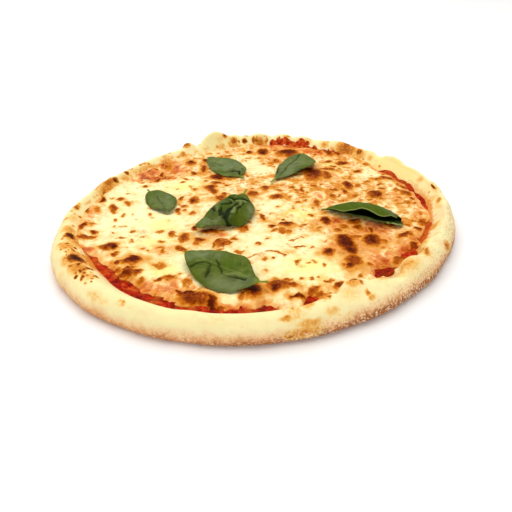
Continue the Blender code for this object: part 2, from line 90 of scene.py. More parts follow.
CHEESE_LOBE, CHEESE_LOBE_LENGTH = 2.6, 15.0
CHEESE_SKIRT = ((0.22, 0.45), (0.15, 1.1), (-0.35, 2.0), (-0.9, 3.2))    # its edge: out, down
SOAKED = 0.5                       # cheese and sauce run this far into the slope they have stuck to
RAGGED_RADIUS = 130                # where the noise of their ragged edges is read

# How finely each piece is made
RIM_STEPS = 960
RIM_ROWS = 64
UNDERSIDE_RINGS = 12
SAUCE_ROWS = 34
CHEESE_CELLS, COARSE_CELLS = 296, 50
LEAF_ALONG, LEAF_ACROSS = 130, 88
COARSE_ALONG, COARSE_ACROSS = 12, 10
ROUND = np.linspace(0, 2 * pi, RIM_STEPS, endpoint=False)[None, :]      # bearings of the rings

# Bubbles of the rim: bearing, distance inside the outline, height, radius, swell
BUBBLE_SKIRT, BUBBLE_ROUND = 1.25, 0.9
RIM_BUBBLES = (
    (106.5, 8.5, 15.5, 11.5, 8), (99.2, 9, 15.5, 6, 3), (94.6, 9.5, 16, 4.5, 1.6),
    (88.6, 11.5, 15.5, 8.5, 3.4), (118, 6.5, 15, 5, 3.6), (80, 8, 15.5, 7, 2.8), (72, 10, 15.5, 7, 1.8),
    (58, 6, 15, 9.5, 1.8), (41, 7, 15.5, 6, -2), (35, 6, 15, 9, 1.8), (161, 9, 15.5, 11, 1.8),
    (328.3, 14, 14.5, 7, 1.4), (317.5, 12, 15, 9, 2), (303, 16.5, 13.5, 8, 3), (288.5, 14.5, 14, 8, 2.2),
    (297.5, 21, 12, 10, 8.6), (277, 9, 16, 9, 1), (208, 12.5, 15.5, 9, 1.6), (241, 8, 15.5, 14, 0.9),
    (11, 7, 15, 8, 1.2),
)
# Bumps, or hollows below zero, of the rim's inner slope, told the same way
SLOPE_BUMPS = (
    (335, 15, 13.5, 6, 2.6), (321.4, 15.5, 13.5, 6, 3), (328.2, 17, 12.5, 5, -4.8),
    (314, 16.5, 12.5, 5.5, -5.2), (311.4, 13.5, 15, 6.5, -3.6), (296.5, 19, 13, 7, 3.6),
    (294, 16, 13, 4, -1.8), (288, 16, 13, 5, 1.6),
)

# Where the oven has flecked the rim: bearing, half spread, distance inside the outline from and to,
# number, brown
FLECKED = (
    (213.5, 6, 5, 21, 70, 0.95), (301, 4, 17, 28, 14, 0.8), (95, 7, 5, 16, 10, 0.8),
    (103, 4.5, 3, 16, 26, 0.42), (277.5, 4, 9, 22, 34, 0.45), (150, 22, 4, 14, 30, 0.6),
    (60, 16, 6, 16, 16, 0.5), (235.5, 1.6, 3, 8, 12, 0.6),
)
FLECK_SIZES, FLECK_SHADES, FLECK_LONG = (0.4, 1.1), (0.35, 1.0), 1.5

# Toasted places of the rim: bearing, distance inside the outline, height, half length along the
# rim, half width across it, brown from 0 to 1
RIM_TOAST = (
    (196.6, 13.7, 15.3, 3.8, 3.4, 0.95), (196.6, 14.5, 15, 9, 5.5, 0.38),
    (210.3, 14.9, 16.3, 5.4, 5.4, 0.96), (211, 14.4, 16.7, 9.5, 8, 0.36),
    (205.9, 24.6, 6.9, 2.4, 3, 0.62), (211.8, 21.7, 10.7, 8, 6, 0.34), (217, 11.6, 16.9, 6, 2.6, 0.42),
    (220.7, 13.1, 16.7, 7, 5, 0.26), (217.3, 10.2, 16.7, 1.3, 1.1, 0.85),
    (218.1, 7.1, 15.4, 1.5, 1.2, 0.8), (219.9, 12.8, 16.6, 1.3, 1.1, 0.65),
    (222.5, 11.9, 17.1, 1.4, 1, 0.6), (221.3, 16.8, 14.8, 2, 1.3, 0.7), (206.5, 25, 7.5, 1.6, 1.6, 0.7),
    (200.9, 8.3, 16.3, 1.8, 3, 0.42), (186.4, 6.2, 15.9, 2, 2.6, 0.42),
    (182.9, 12.7, 12.6, 2.4, 2.4, 0.44), (185.8, 10.5, 14.8, 7.5, 5.5, 0.24),
    (179.4, 7.8, 16.7, 4, 2.4, 0.48), (182.3, 7.1, 17.1, 1.8, 1.5, 0.32),
    (183, 9.7, 15.4, 1.8, 1.5, 0.3), (174.3, 9.8, 14, 4.5, 1.6, 0.32),
    (160.1, 7.6, 16.1, 7.5, 4.2, 0.48), (164.2, 9.3, 14.2, 4.2, 3.2, 0.46),
    (156.8, 8.2, 15.4, 3, 2.6, 0.8), (164.9, 10.9, 12.5, 3.5, 1.6, 0.62),
    (160.4, 11.2, 12.6, 8, 4, 0.32), (149.9, 7.4, 16.2, 2.2, 2.8, 0.74),
    (146.2, 9.6, 14.1, 6.5, 4.5, 0.26), (140.5, 7, 16, 4.5, 1.5, 0.4), (147.5, 6, 16.5, 4, 1.3, 0.32),
    (130, 9, 15, 5, 3, 0.3), (118.7, 6.7, 18.5, 3.6, 3.4, 0.52), (118.9, 5, 18.3, 3, 2, 0.85),
    (122.3, 12.4, 14.2, 2.4, 2.2, 0.46), (124.4, 13.4, 13, 2.8, 2, 0.38),
    (113.5, 8, 17.5, 1.6, 1.8, 0.45), (102.8, 8.5, 20.5, 3.4, 2, 0.74), (109.5, 8, 20.5, 2.8, 1.4, 0.42),
    (104.6, 15.5, 13, 4.5, 4, 0.28), (99.3, 12.6, 16, 3.8, 3.8, 0.54), (95, 12.9, 15.1, 2.2, 2.2, 0.8),
    (88.8, 15.1, 13.2, 6.2, 5.5, 0.46), (91.3, 13.5, 15.1, 1.6, 4.5, 0.58),
    (86.2, 13, 15, 1.3, 4.5, 0.5), (90.4, 13.5, 15.1, 1.8, 1.8, 0.62), (78.2, 9.9, 17.9, 4, 1.3, 0.4),
    (70, 11, 15, 6, 4, 0.28), (63, 12, 14.5, 5, 4, 0.35), (54.3, 8.5, 17.5, 4, 5, 0.54),
    (48.6, 10.4, 14.8, 3.2, 3.6, 0.64), (48, 12.5, 13.5, 8, 6, 0.34), (43.2, 11.4, 13, 4, 3.4, 0.28),
    (19, 8, 14, 4.5, 3.2, 0.27), (11, 6.6, 16.6, 5.5, 0.9, 0.9), (10, 10.3, 12.5, 1, 1, 0.45),
    (2.7, 8.7, 15.1, 3.8, 2.6, 0.42), (339.7, 11.6, 15.2, 1.8, 2.6, 0.3),
    (326.2, 9.2, 17.6, 2.2, 2.6, 0.48), (327.4, 10.8, 18.7, 5, 1.8, 0.6),
    (326.5, 10.5, 17, 5.5, 6, 0.27), (336.1, 2.2, 12.2, 4, 4, 0.44), (317, 11, 18, 9, 3.4, 0.36),
    (297.6, 18.9, 20, 3.4, 0.9, 0.85), (296.8, 17, 19, 6, 3, 0.38), (299.3, 16, 18.9, 1.4, 1.2, 0.65),
    (299.1, 8.8, 16, 1.7, 2.4, 0.48), (294.1, 10.8, 16.7, 4, 3, 0.2), (299.3, 5.5, 14.3, 3.2, 2, 0.22),
    (286.9, 15.7, 16, 4.8, 4.8, 0.44), (287.7, 12.6, 18.5, 1.8, 1.8, 0.55),
    (287.3, 4.9, 14.4, 5, 3.2, 0.26), (277.3, 13.8, 15.2, 1.3, 5, 0.6), (279.2, 14.5, 15, 1, 4, 0.55),
    (275.4, 5.2, 15.5, 4.2, 1.9, 0.4), (277.5, 9, 15.5, 7, 8, 0.22), (277.9, 21, 11.5, 1.5, 1.5, 0.6),
    (280.9, 1.8, 12.1, 9, 3, 0.32), (279.5, 0.2, 7.5, 11, 3.8, 0.36), (276.1, 0.1, 6.3, 4, 1.8, 0.46),
    (235.8, 5.3, 15.4, 3.2, 2.6, 0.2), (227.6, 4.5, 14.2, 6, 4, 0.22), (230.4, 4.2, 13.9, 5, 3.5, 0.2),
    (213.2, 2.5, 12.1, 5, 4, 0.18), (198, 17, 12, 12, 9, 0.36), (208, 16, 14.5, 9, 7, 0.34),
    (207, 22, 9, 6, 5, 0.34), (186, 17.2, 8.7, 10, 4.5, 0.42), (54, 11, 14, 11, 9, 0.48),
    (306, 16, 15, 9, 5, 0.36), (317, 11, 16, 12, 7, 0.31), (294, 12, 16, 10, 6, 0.22),
    (281, 14, 15.5, 7, 5, 0.32), (162, 9, 13, 14, 6, 0.38), (272, 15, 15, 8, 4, 0.26),
    (10, 6.4, 16.5, 9, 4, 0.22), (203, 12, 16.5, 8, 6, 0.36), (215, 12, 16.8, 8, 7, 0.4),
    (193, 12, 15.5, 7, 6, 0.34), (210, 8, 16, 7, 4, 0.3), (208, 22, 9.5, 6, 4, 0.4),
    (198, 9, 16.3, 1.1, 0.9, 0.8), (201.5, 12, 16.4, 0.9, 1.2, 0.85), (204, 8, 16.4, 1.2, 0.8, 0.75),
    (207, 10.5, 17, 0.9, 0.9, 0.8), (213.5, 8.5, 16.6, 1.2, 0.9, 0.8), (193.5, 9.5, 15.8, 1, 1.2, 0.7),
    (219.5, 9, 16.4, 1, 0.9, 0.7), (205, 14.5, 16.3, 1.3, 1, 0.75), (190, 13, 13.5, 1.2, 1.4, 0.62),
)
# Stretches of the rim, as bearing, half spread and strength: where its inner slope is less toasted,
# where its outer side is tan, partly baked colour and partly painted shade, and floured, and where
# that slope is oily, golden or streaked, the golden partly toasting and partly painted warm light
PALE_SLOPE = ((30, 22, 0.26), (236, 30, 0.32), (181, 14, 0.22))
RIGHT_SIDE, FRONT_SIDE = (322, 36), (268, 48)
SIDE_FAR_RIGHT, FLOUR_FAR_RIGHT = (345, 28), (349, 22)
# How high the tan, partly painted shade, and the flour start, and where they are full: height, and more at
# the right
TAN_TOP, TAN_TOP_RIGHT, TAN_FULL = 13.5, 2.5, 2.5
FLOUR_TOP, FLOUR_TOP_RIGHT, FLOUR_FULL, FLOUR_FULL_RIGHT = 11.0, 5.0, 3.0, 4.0
SLOPE_TOAST, PATCHY_TOAST = 0.34, 0.16
OILY_SLOPE = ((355, 20, 1.0), (209, 9, 0.8))
GOLDEN_SLOPE = ((32, 17, 1.0), (104, 8, 0.8))
STREAKED = (66, 15)

# Stretches where the sauce shows between cheese and rim: bearing, half spread, width
SAUCE_STRETCHES = (
    (222, 13, 8), (242, 12, 7.4), (260, 11, 5), (263.6, 2, 8.8), (270.8, 2.6, 10.8), (285.2, 2.4, 6.8),
    (315, 3.4, 8.8), (330.5, 3.8, 7.6), (346, 9, 3), (8, 12, 2.4), (30, 9, 3.2), (19.5, 5, 2.5),
)
# Where the cheese has run out over that sauce toward the rim: bearing, half spread, share of the way
CHEESE_TONGUES = (
    (348, 8, 0.3), (0, 6, 0.5), (20, 6, 0.12), (31, 6, 0.52), (299, 6, 0.3), (323.4, 3, 0.92),
    (337, 2.4, 0.75),
)
# How high the sauce climbs the rim's slope above its level: bearing, half spread, height
SAUCE_CLIMBS = (
    (32, 4.5, 4.2), (22, 6, 2.6), (11, 6, 2.4), (2, 6, 1.8), (352, 6, 3.2), (341, 6, 3), (329, 4, 5),
    (314.5, 4, 5.5), (232, 16, 1.6), (262, 14, 1.4),
)
# Where it is smoother than elsewhere: bearing, half spread
SAUCE_SMOOTH = (18, 22)
# Where it is orange with oil, and where it is dark, partly dried pulp and partly painted shade in
# the wedges between cheese and rim: bearing, half spread, strength
SAUCE_OILY = (
    (344, 7, 0.75), (357, 7, 1), (26, 9, 0.32), (208, 2.5, 0.6), (216, 1.5, 0.3), (238, 1.2, 0.6),
    (250, 1.6, 0.55), (266, 2, 0.45), (335, 2, 0.5),
)
SAUCE_DARK = (
    (314, 4, 0.65), (11, 4, 0.3), (222, 2, 0.35), (233, 1.5, 0.55), (244, 1.4, 0.4), (256, 2, 0.45),
    (270, 2, 0.75), (284, 2, 0.35), (326, 1.4, 0.4),
)

# The tables of spots give x, y, half length, half width and strength, and a turn in degrees where
# the spot has one

# Sauce smeared on the rim's inner slope at the back
SMEARED = (
    (15, 130, 3.2, 2.6, 0.95), (20, 132, 2.6, 2, 0.8), (26, 131, 3.4, 2.4, 1),
    (21, 128.5, 3.2, 2.2, 0.9), (40, 126, 4.2, 3, 1, -15), (36, 126.5, 3, 2.2, 0.85),
    (45, 124, 3, 2.6, 0.8, -20), (52, 118.5, 5.4, 2.2, 0.7, -28), (61, 114.5, 3, 1.8, 0.6, -30),
    (68, 111, 5, 1.8, 0.7, -34), (76, 105.5, 3.4, 1.6, 0.6, -40), (83, 100.5, 4.6, 1.6, 0.5, -45),
    (31, 128, 5, 2.2, 0.75, -10),
)
# Blisters and folds that stand up in the cheese, with their height as strength
BLISTER_STEEP = 0.8
CHEESE_BLISTERS = (
    (-134, -31, 7, 5, 1.4), (-101, -45, 7, 5.5, 1.6, 20), (-82, -63, 7, 5.5, 1.6),
    (-85, -77, 9, 5, 1.5, -20), (-54, -88, 12, 7, 1.5), (-37, -106, 11, 7, 2.2, 10),
    (-5, -104, 8, 7, 1.8), (13, -94, 12, 6.5, 1.8, -10), (8, -66, 13, 10, 1.8),
    (16, -21, 9, 5.5, 1.5, 10), (57, -48, 8, 15, 1.8), (76, -44, 11, 12, 2), (102, -38, 11, 6, 1.5, 50),
    (91, 28, 8, 7, 1.6), (71, 46, 6, 9, 1.4), (106, 54, 11, 7, 1.4), (51, 66, 13, 12, 2),
    (27, 112, 12, 9, 2.2, 20), (5, 111, 7, 9, 1.8), (70, 108, 13, 8, 1.6, -20), (-26, 102, 9, 6, 1.4),
    (-53, 90, 9, 10, 1.6, 30), (-121, 58, 8, 10, 1.8), (-40, 48, 7, 10, 1.4, 30), (-50, 22, 9, 8, 1.4),
    (-109, 12, 6, 10, 1.3, 30), (-27, -43, 8, 6, 1.4), (-3, 31, 6, 7, 1.4),
)
# Browned places of the cheese
BROWNED = (
    # Front left
    (-121, -31, 4.5, 3, 0.6), (-103, -45, 6, 4.5, 0.78), (-100, -46, 3, 3, 1),
    (-97, -54, 2.6, 2.6, 0.62), (-94, -63, 2.4, 1.8, 0.65), (-84, -63, 5.5, 4.8, 0.95),
    (-93, -72, 3, 3, 0.5), (-86, -77, 5, 3.5, 0.78), (-79, -77, 3, 3, 0.62),
    (-85, -72, 5, 1.6, 0.55, 10), (-76, -86, 2.6, 3.4, 0.42), (-66, -69, 4.2, 4, 0.46),
    (-66, -51, 1.8, 3.6, 0.4), (-68, -46, 3, 1.8, 0.36), (-90, -25, 1.8, 2.8, 0.5),
    (-97, -34, 3.6, 1.7, 0.46, 10), (-89, -37, 1.8, 3, 0.4), (-71, -26, 3.4, 2.2, 0.45),
    (-62, -29, 2.4, 3.8, 0.62), (-53, -34, 3.8, 6, 0.6), (-68, -39, 3, 1.6, 0.36),
    (-54, -49, 4.5, 2.4, 0.62, -30), (-42, -38, 3.6, 2.8, 0.66), (-44, -43, 2, 2, 0.5),
    (-80, -48, 2.6, 2.6, 0.28), (-57, -85, 5, 3.4, 0.46), (-63, -87, 4, 1.2, 0.55, 20),
    (-46, -91, 3.4, 5.5, 0.4), (-104, -27, 1.2, 1.6, 0.45), (-118, -24, 3.6, 1.7, 0.62, -30),
    # Left
    (-108, 26, 2.8, 3.6, 0.6, -20), (-101, 18, 2.4, 3.8, 0.56, 30), (-110, 9, 2.8, 6.5, 0.62, 25),
    (-121, 23, 1.8, 4, 0.78), (-125, 37, 1, 6, 0.75, 10), (-129, 6, 1.8, 5, 0.55, 20),
    (-101, -1, 1.8, 2.8, 0.45), (-106, -8, 1.4, 2.6, 0.45), (-105, -17, 1.2, 1.8, 0.4),
    (-81, -1, 1.8, 2.2, 0.4), (-79, -5, 1.8, 1.3, 0.35), (-90, -8, 1.8, 1.2, 0.32, -40),
    (-94, 1, 1.2, 1.2, 0.3), (-122, 9, 2.6, 5.5, 0.42, 20), (-122, -11, 2.6, 3.6, 0.45),
    (-127, -16, 1.8, 5.5, 0.66, -15), (-124, -33, 4.5, 2, 0.56, 8), (-118, -30, 3.5, 1.8, 0.64),
    (-92, 49, 2, 2, 0.72), (-61, 7, 1.8, 4, 0.62, -15), (-60, 2, 2, 2.6, 0.45), (-50, 21, 4.2, 5.5, 0.6),
    (-51, 19, 2, 2.6, 0.84), (-60, 25, 1.8, 4.6, 0.5), (-50, 2, 2.8, 3.6, 0.46),
    (-46, -21, 2.6, 2.6, 0.9),
    # Middle
    (-38, 39, 2.8, 7.5, 0.68, 35), (-30, 26, 3.8, 3.6, 0.66), (-27, 32, 2, 3, 0.58),
    (-5, 31, 4.6, 4.6, 0.6), (14, 26, 5.2, 4.2, 0.62), (17, 38, 2.4, 3, 0.5), (30, 38, 2.8, 2.4, 0.45),
    (35, 39, 1.8, 4, 0.5), (25, 27, 1.8, 1.4, 0.4), (34, 25, 2.8, 2.3, 0.4), (30, 17, 2.2, 2.8, 0.5),
    (14, 11, 1.8, 1.9, 0.52), (25, 7, 1.3, 1.3, 0.34), (40, 6, 1.2, 1.8, 0.42), (39, -4, 1.8, 1.8, 0.42),
    (2, -6, 1.8, 3.8, 0.52, 10), (-1, 4, 1.4, 1.8, 0.36), (19, -18, 5, 4, 0.8), (20, -18, 2.4, 2.2, 1),
    (9, -20, 2.8, 2.2, 0.72), (16, -27, 2.8, 3.2, 0.5), (29, -22, 2.2, 1.8, 0.36), (17, -11, 1, 1, 0.55),
    (-12, -24, 3.6, 4.6, 0.5), (-10, -21, 2.2, 2.6, 0.68), (-36, -26, 5.5, 2.6, 0.88),
    (-27, -26, 2.2, 2.2, 0.5), (-18, -37, 2.4, 2.3, 0.52), (44, 15, 2.3, 6.5, 0.55),
    (41, -27, 1.4, 0.9, 0.45), (5, 41, 3.6, 4, 0.6), (-26, -43, 6, 4.8, 0.52),
    (-25, -45, 1, 3, 0.66, -20), (-15, -54, 3.2, 2.2, 0.46), (-2, -44, 2.3, 2.3, 0.56),
    (-28, -51, 2.8, 1.3, 0.46),
    # Front
    (26, -49, 4, 1.3, 0.62, 15), (24, -68, 1.8, 3.8, 0.48, -20), (41, -71, 1.3, 2.3, 0.42),
    (45, -56, 4.2, 4.6, 0.82), (25, -87, 1.8, 1.3, 0.48), (31, -87, 1.6, 1.4, 0.52),
    (36, -85, 1.2, 1.3, 0.48), (42, -90, 2.8, 2.2, 0.52), (32, -98, 2.4, 5, 0.56, -35),
    (-40, -105, 10, 5.5, 0.7, -5), (-30, -110, 3, 6, 0.94, 15), (-45, -101, 6, 2.2, 0.84),
    (10, -94, 7.5, 5.5, 0.66), (8, -97, 3, 4, 0.88), (18, -95, 4.5, 2.4, 0.6), (-5, -99, 4.6, 6.5, 0.97),
    (-12, -105, 2, 4.6, 0.46, -15), (21, -105, 5, 1.8, 0.8, 15), (35, -103, 4, 2.4, 0.5),
    (-25, -113, 4, 2, 0.55), (47, -95, 4.5, 2, 0.72, 45),
    # Right
    (48, -13, 3.6, 5.6, 0.82), (60, -23, 3.6, 5, 0.5, 15), (68, -15, 4.6, 3.8, 0.66, 20),
    (70, -24, 3.6, 4.6, 0.62), (55, -28, 2.8, 2.6, 0.62), (66, -38, 4.6, 2.8, 0.52),
    (58, -46, 5.5, 11, 0.95, 8), (60, -56, 3.6, 4.5, 0.9), (76, -44, 5.5, 7.4, 0.84, -10),
    (85, -45, 2.4, 2.4, 0.52), (100, -37, 6.5, 2.6, 0.72, 30), (104, -47, 2.8, 3.6, 0.78, -25),
    (112, -26, 2.8, 2.2, 0.88, 10), (118, -16, 3.4, 5, 0.62, -20), (60, -68, 5.5, 6.5, 0.68),
    (57, -74, 2.8, 3.4, 0.88), (90, -66, 3.2, 6.4, 0.58, -38), (95, -61, 4, 2, 0.72, 20),
    (105, -21, 3.6, 1.8, 0.52, -25), (82, -53, 3, 2, 0.32), (87, -54, 2, 2, 0.32), (78, -30, 2, 4, 0.7),
    (93, -20, 3, 3, 0.8, -40),
    # Back right
    (46, 65, 7, 11, 0.82), (44, 72, 4, 6, 0.92), (57, 61, 3.6, 7.5, 0.6), (57, 75, 4.6, 3.6, 0.62),
    (63, 76, 2.6, 3.6, 0.56), (84, 72, 2.8, 2.8, 0.78), (45, 44, 3.6, 2.8, 0.52, -30),
    (72, 44, 3.6, 6.6, 0.76, 10), (68, 34, 2, 4.5, 0.6, 10), (60, 37, 4, 2.6, 0.56, -10),
    (80, 44, 2.4, 3.2, 0.46, -20), (76, 59, 2.2, 5.5, 0.42, -10), (97, 54, 4, 2.6, 0.5),
    (107, 56, 6.5, 3.6, 0.84, -5), (106, 65, 3.2, 2.3, 0.54, 10), (99, 38, 2.8, 2.8, 0.62),
    (91, 27, 5.4, 6.5, 0.7), (94, 25, 2.8, 3.6, 0.98), (58, 26, 2.8, 3.2, 0.52),
    (75, 26, 2.2, 4.8, 0.44, -25), (63, 27, 0.9, 3.6, 0.4, -25), (116, 42, 3.2, 3.2, 0.64),
    (109, 34, 3.6, 3.2, 0.58), (116, 30, 4.6, 4.6, 0.64), (119, 22, 2.2, 2.8, 0.62),
    (114, 13, 3.8, 3.6, 0.42), (105, 16, 2, 2, 0.32), (52, 121, 4, 5, 0.6),
    (64, 111, 3.6, 7.4, 0.72, 10), (74, 112, 5.4, 6.4, 0.8, -40), (72, 107, 2, 3, 0.96),
    (74, 90, 5.6, 3.6, 0.68, 10), (62, 94, 4, 2.3, 0.58, 20), (94, 86, 2.8, 2.3, 0.48),
    (104, 84, 2.8, 3.8, 0.62, -10), (65, 83, 3.6, 1.8, 0.48), (70, 76, 1.8, 1.8, 0.48),
    (90, 101, 4, 9, 0.34, -10),
    # Back
    (-117, 59, 2.6, 5.6, 0.84, -10), (-120, 67, 2.4, 3, 0.76), (-111, 76, 2.2, 3.8, 0.74, -20),
    (-102, 99, 2.4, 3.2, 0.68, -30), (-102, 76, 2.6, 3.6, 0.34), (-90, 96, 5.5, 4.6, 0.38),
    (-92, 87, 2, 3.6, 0.34), (-76, 86, 2.8, 6.6, 0.38), (-83, 61, 2.2, 3.6, 0.78, -10),
    (-81, 71, 1.8, 3.8, 0.64), (-74, 64, 2.3, 1.8, 0.58), (-58, 92, 4.4, 5.6, 0.62),
    (-58, 94, 2.8, 3, 0.94), (-46, 81, 2.2, 6.5, 0.78), (-46, 98, 1.8, 4, 0.8),
    # The dark place at (-34, 65), at the edge of the back left leaf, is partly browning and partly painted
    # shadow of the leaf
    (-54, 71, 2.8, 2.8, 0.68), (-34, 65, 5.5, 4.4, 0.92), (-26, 61, 4, 2.4, 0.42),
    (-43, 56, 1.8, 2.3, 0.52), (-34, 52, 3.6, 4.6, 0.62, -35), (-38, 44, 3.6, 4.6, 0.68, -25),
    (-26, 108, 3.6, 3.6, 0.68), (-7, 116, 2.8, 3.8, 0.78), (5, 115, 4.6, 7.6, 0.84),
    (5, 111.5, 3.6, 5.4, 0.98), (-8, 103, 3.2, 2.3, 0.52), (17, 119, 1.8, 2.8, 0.58),
    (27, 111.5, 9, 7.6, 0.86, 20), (16, 96, 3.6, 4.6, 0.52, 20), (12, 91, 3, 2.6, 0.42),
    (38, 74, 3.6, 4.6, 0.72),
)
# Browned edges of folds in the cheese, as lines: half width, brown, points
FOLD_EDGES = (
    (1.1, 0.5, ((5, -55), (9, -55.5), (13, -58), (16, -62))),
    (1.2, 0.36, ((-10, -62), (-5, -59.5), (1, -57))), (0.7, 0.42, ((20, -40.5), (30, -37))),
    (0.9, 0.7, ((-52, -97), (-46, -103), (-40, -109))),
    (0.9, 0.55, ((-32, -48), (-29, -39), (-23, -38), (-20.5, -44), (-25, -48.5))),
)
# Places where the sauce has stained the cheese
STAINED = (
    (-90, 70, 11, 12, 0.9), (-76, 88, 9, 12, 0.95), (-66, 78, 8, 11, 0.75), (-81, 67, 10, 8, 1),
    (80, -27, 15, 9, 1), (62, -18, 11, 9, 0.65), (-58, -95, 13, 6, 0.65), (80, -66, 9, 10, 0.75),
    (72, -52, 15, 9, 0.45), (56, 118, 17, 10, 0.95), (25, 132, 17, 9, 1), (1, -60, 5, 4, 0.5),
    (-66, -50, 5, 7, 0.45), (-123, 0, 6, 20, 0.5), (-119, -47, 5, 5, 1), (110, 30, 13, 15, 0.4),
    (-5, 35, 11, 9, 0.35), (118, 0, 7, 11, 0.4), (-10, -115, 22, 3, 0.7), (105, -45, 9, 14, 0.5),
    (-46, -92, 5, 8, 0.45), (38, 100, 22, 14, 0.35), (-100, 60, 7, 6, 0.5), (-117, 72, 5, 8, 0.6),
    (-78, 84, 7, 8, 0.6), (55, -14, 12, 6, 0.9), (51, -50, 7, 8, 0.6), (-31, -30, 8, 6, 0.6),
    (-14, -67, 8, 6, 0.5), (-13, -96, 8, 5, 0.6), (-72, -92, 8, 6, 0.6), (107, 75, 7, 8, 0.7),
    (99, -52, 8, 8, 0.6), (77, -82, 8, 5, 0.6), (-82, -29, 6, 5, 0.4),
)
# Places that have turned a soft orange
WARMED = (
    (-76, 71, 17, 9, 0.45), (-44, 44, 9, 9, 0.5), (-25, 55, 8, 6, 0.35), (-70, -47, 13, 9, 0.42),
    (-69, -65, 12, 8, 0.45), (-88, -60, 14, 8, 0.35), (-39, -38, 12, 8, 0.5), (45, -24, 8, 8, 0.5),
    (60, -25, 14, 9, 0.6), (60, -54, 15, 14, 0.9), (42, -54, 7, 9, 0.45), (80, -45, 14, 12, 0.7),
    (-26, -101, 8, 5, 0.5), (-4, -99, 10, 7, 0.9), (98, -8, 8, 8, 0.45), (100, -30, 10, 10, 0.4),
    (50, 30, 9, 9, 0.4), (55, 65, 12, 12, 0.5), (37, 95, 10, 8, 0.4), (-5, 98, 9, 8, 0.35),
    (60, -72, 12, 9, 0.6),
)
# Places where it is palest, and where it is yellow with butterfat
PALE = (
    (-95, -5, 33, 17, 1), (0, -42, 15, 19, 1), (33, -72, 19, 13, 1), (-8, 98, 9, 15, 1),
    (-62, 52, 13, 11, 1), (-100, 42, 16, 9, 1), (-85, -30, 15, 13, 1), (92, 68, 12, 7, 1),
    (-56, -68, 7, 8, 1), (10, -72, 12, 9, 1), (100, -24, 8, 3, 1), (-115, 30, 6, 6, 1),
    (8, 14, 10, 10, 1), (35, -45, 13, 10, 1), (104, 36, 10, 4, 1), (-87, 11, 9, 7, 1), (5, 79, 9, 8, 1),
    (-19, -107, 7, 4, 1),
)
BUTTERY = (
    (-75, -37, 9, 7, 1), (31, -74, 14, 11, 1), (-62, 48, 11, 10, 1), (-72, -14, 10, 8, 1),
    (-62, -76, 8, 9, 1), (60, 85, 8, 12, 1), (-105, 90, 8, 14, 1), (30, 0, 10, 10, 1),
)
# Small golden and brown spots, scattered over this radius: number, sizes, strengths, how long, turn
FRECKLED_RADIUS, FRECKLES = 122, 360
FRECKLE_SIZES, FRECKLE_SHADES = (0.7, 2.0), (0.22, 0.58)
FRECKLE_STRETCH, FRECKLE_TURN = (0.7, 1.8), (-60, 60)
FRECKLE_CHANCE, FRECKLE_DRIFT, FRECKLE_DRIFT_OVER = 0.35, 0.3, 120
# Golden halo round each brown place, and browned fringe along the edge, more by bare sauce
HALO_WIDER, HALO_MORE = 1.35, 1.3
FRINGE_WIDE, FRINGE_FULL, BY_SAUCE = 7.0, 1.0, (1.0, 5.0)
EDGE_EVEN, SKIN_RAISED, SKIN_ROUGH = 4.0, 0.55, 0.25

# Basil: stem end, tip, half widths, where they are widest, sideways bow, and how each half bends
LEAF_STEM_HALF, LEAF_STEM_SHARE = 0.8, 0.09
LEAF_FULLNESS, LEAF_FOLD, LEAF_BEND_PIECES = 0.72, 1.6, 12
LEAF_STIFF_BELOW, LEAF_CRISP_BELOW, LEAF_WAVY_ABOVE = 8.0, 1.5, 6.0
LEAF_WAVE_LENGTH, LEAF_WAVE_RAISE = 13.0, 0.6
LEAF_RUFFLE, LEAF_RUFFLE_TURNS = 0.4, 9.0
LEAF_REST_REACH, LEAF_GAP, LEAF_REST_PASSES = 9.0, 0.3, 14
LEAF_THICK, LEAF_EDGE_THICK = 0.42, 0.14
VEIN_APART, VEIN_SLANT, VEIN_WANDER = 6.5, 0.75, 2.6
VEIN_HALF, MIDRIB_HALF, MIDRIB_SUNK, LEAF_PUFF = 0.5, 0.6, 0.18, 0.34
CREASE_SUNK, SHOULDER_RAISED, SHOULDER_WIDER = 1.8, 1.0, 2.6
LEAVES = {
    "basil_front": dict(
        stem=(4, -99), tip=(-49.3, -60.8), left=18.7, right=16.4, widest=0.41, bow=2.7, rise=(4, 14),
        curl=(-33, -18), crumple=1.5, seed=1),
    "basil_centre": dict(
        stem=(-9.5, 28.5), tip=(-40.5, -28.8), left=20.8, right=16.6, widest=0.49, bow=3.9,
        rise=(40, 17), curl=(-84, -51), crumple=2.4, seed=2),
    "basil_left": dict(
        stem=(-88.2, 37.6), tip=(-67.4, -0.2), left=13.4, right=9.9, widest=0.47, bow=1, rise=(20, 18),
        curl=(-38, -47), crumple=1, seed=3),
    "basil_back_left": dict(
        stem=(-11.7, 61.6), tip=(-43.7, 102.7), left=11.6, right=16.7, widest=0.41, bow=1.3,
        rise=(0, 15), curl=(0, -22), crumple=1.4, seed=4),
    "basil_back_right": dict(
        stem=(10.1, 49.2), tip=(40.5, 105.1), left=11.4, right=19.7, widest=0.61, bow=-1.2,
        rise=(9, 8), curl=(-23, -3), crumple=0.8, seed=5),
    "basil_right": dict(
        stem=(42, 3), tip=(104.5, -18.9), left=26, right=13.8, widest=0.54, bow=8.6, rise=(79, 10),
        curl=(127, -3), crumple=0.5, seed=6, fold=1.4),
}
FOLDED_LEAF = "basil_right"         # its left half lies over the midrib and hides it
FOLDED_ENDS = (0.06, 0.955)         # where its blunt ends lie, from stem end to tip
FOLDED_SHADE_SIDES, FOLDED_HIGHLIGHT_SIDES = (-0.84, -0.72), ((0.95, 0.985), (-0.80, -0.90))    # shares of its side: inner faces with painted shade, edges with painted highlights
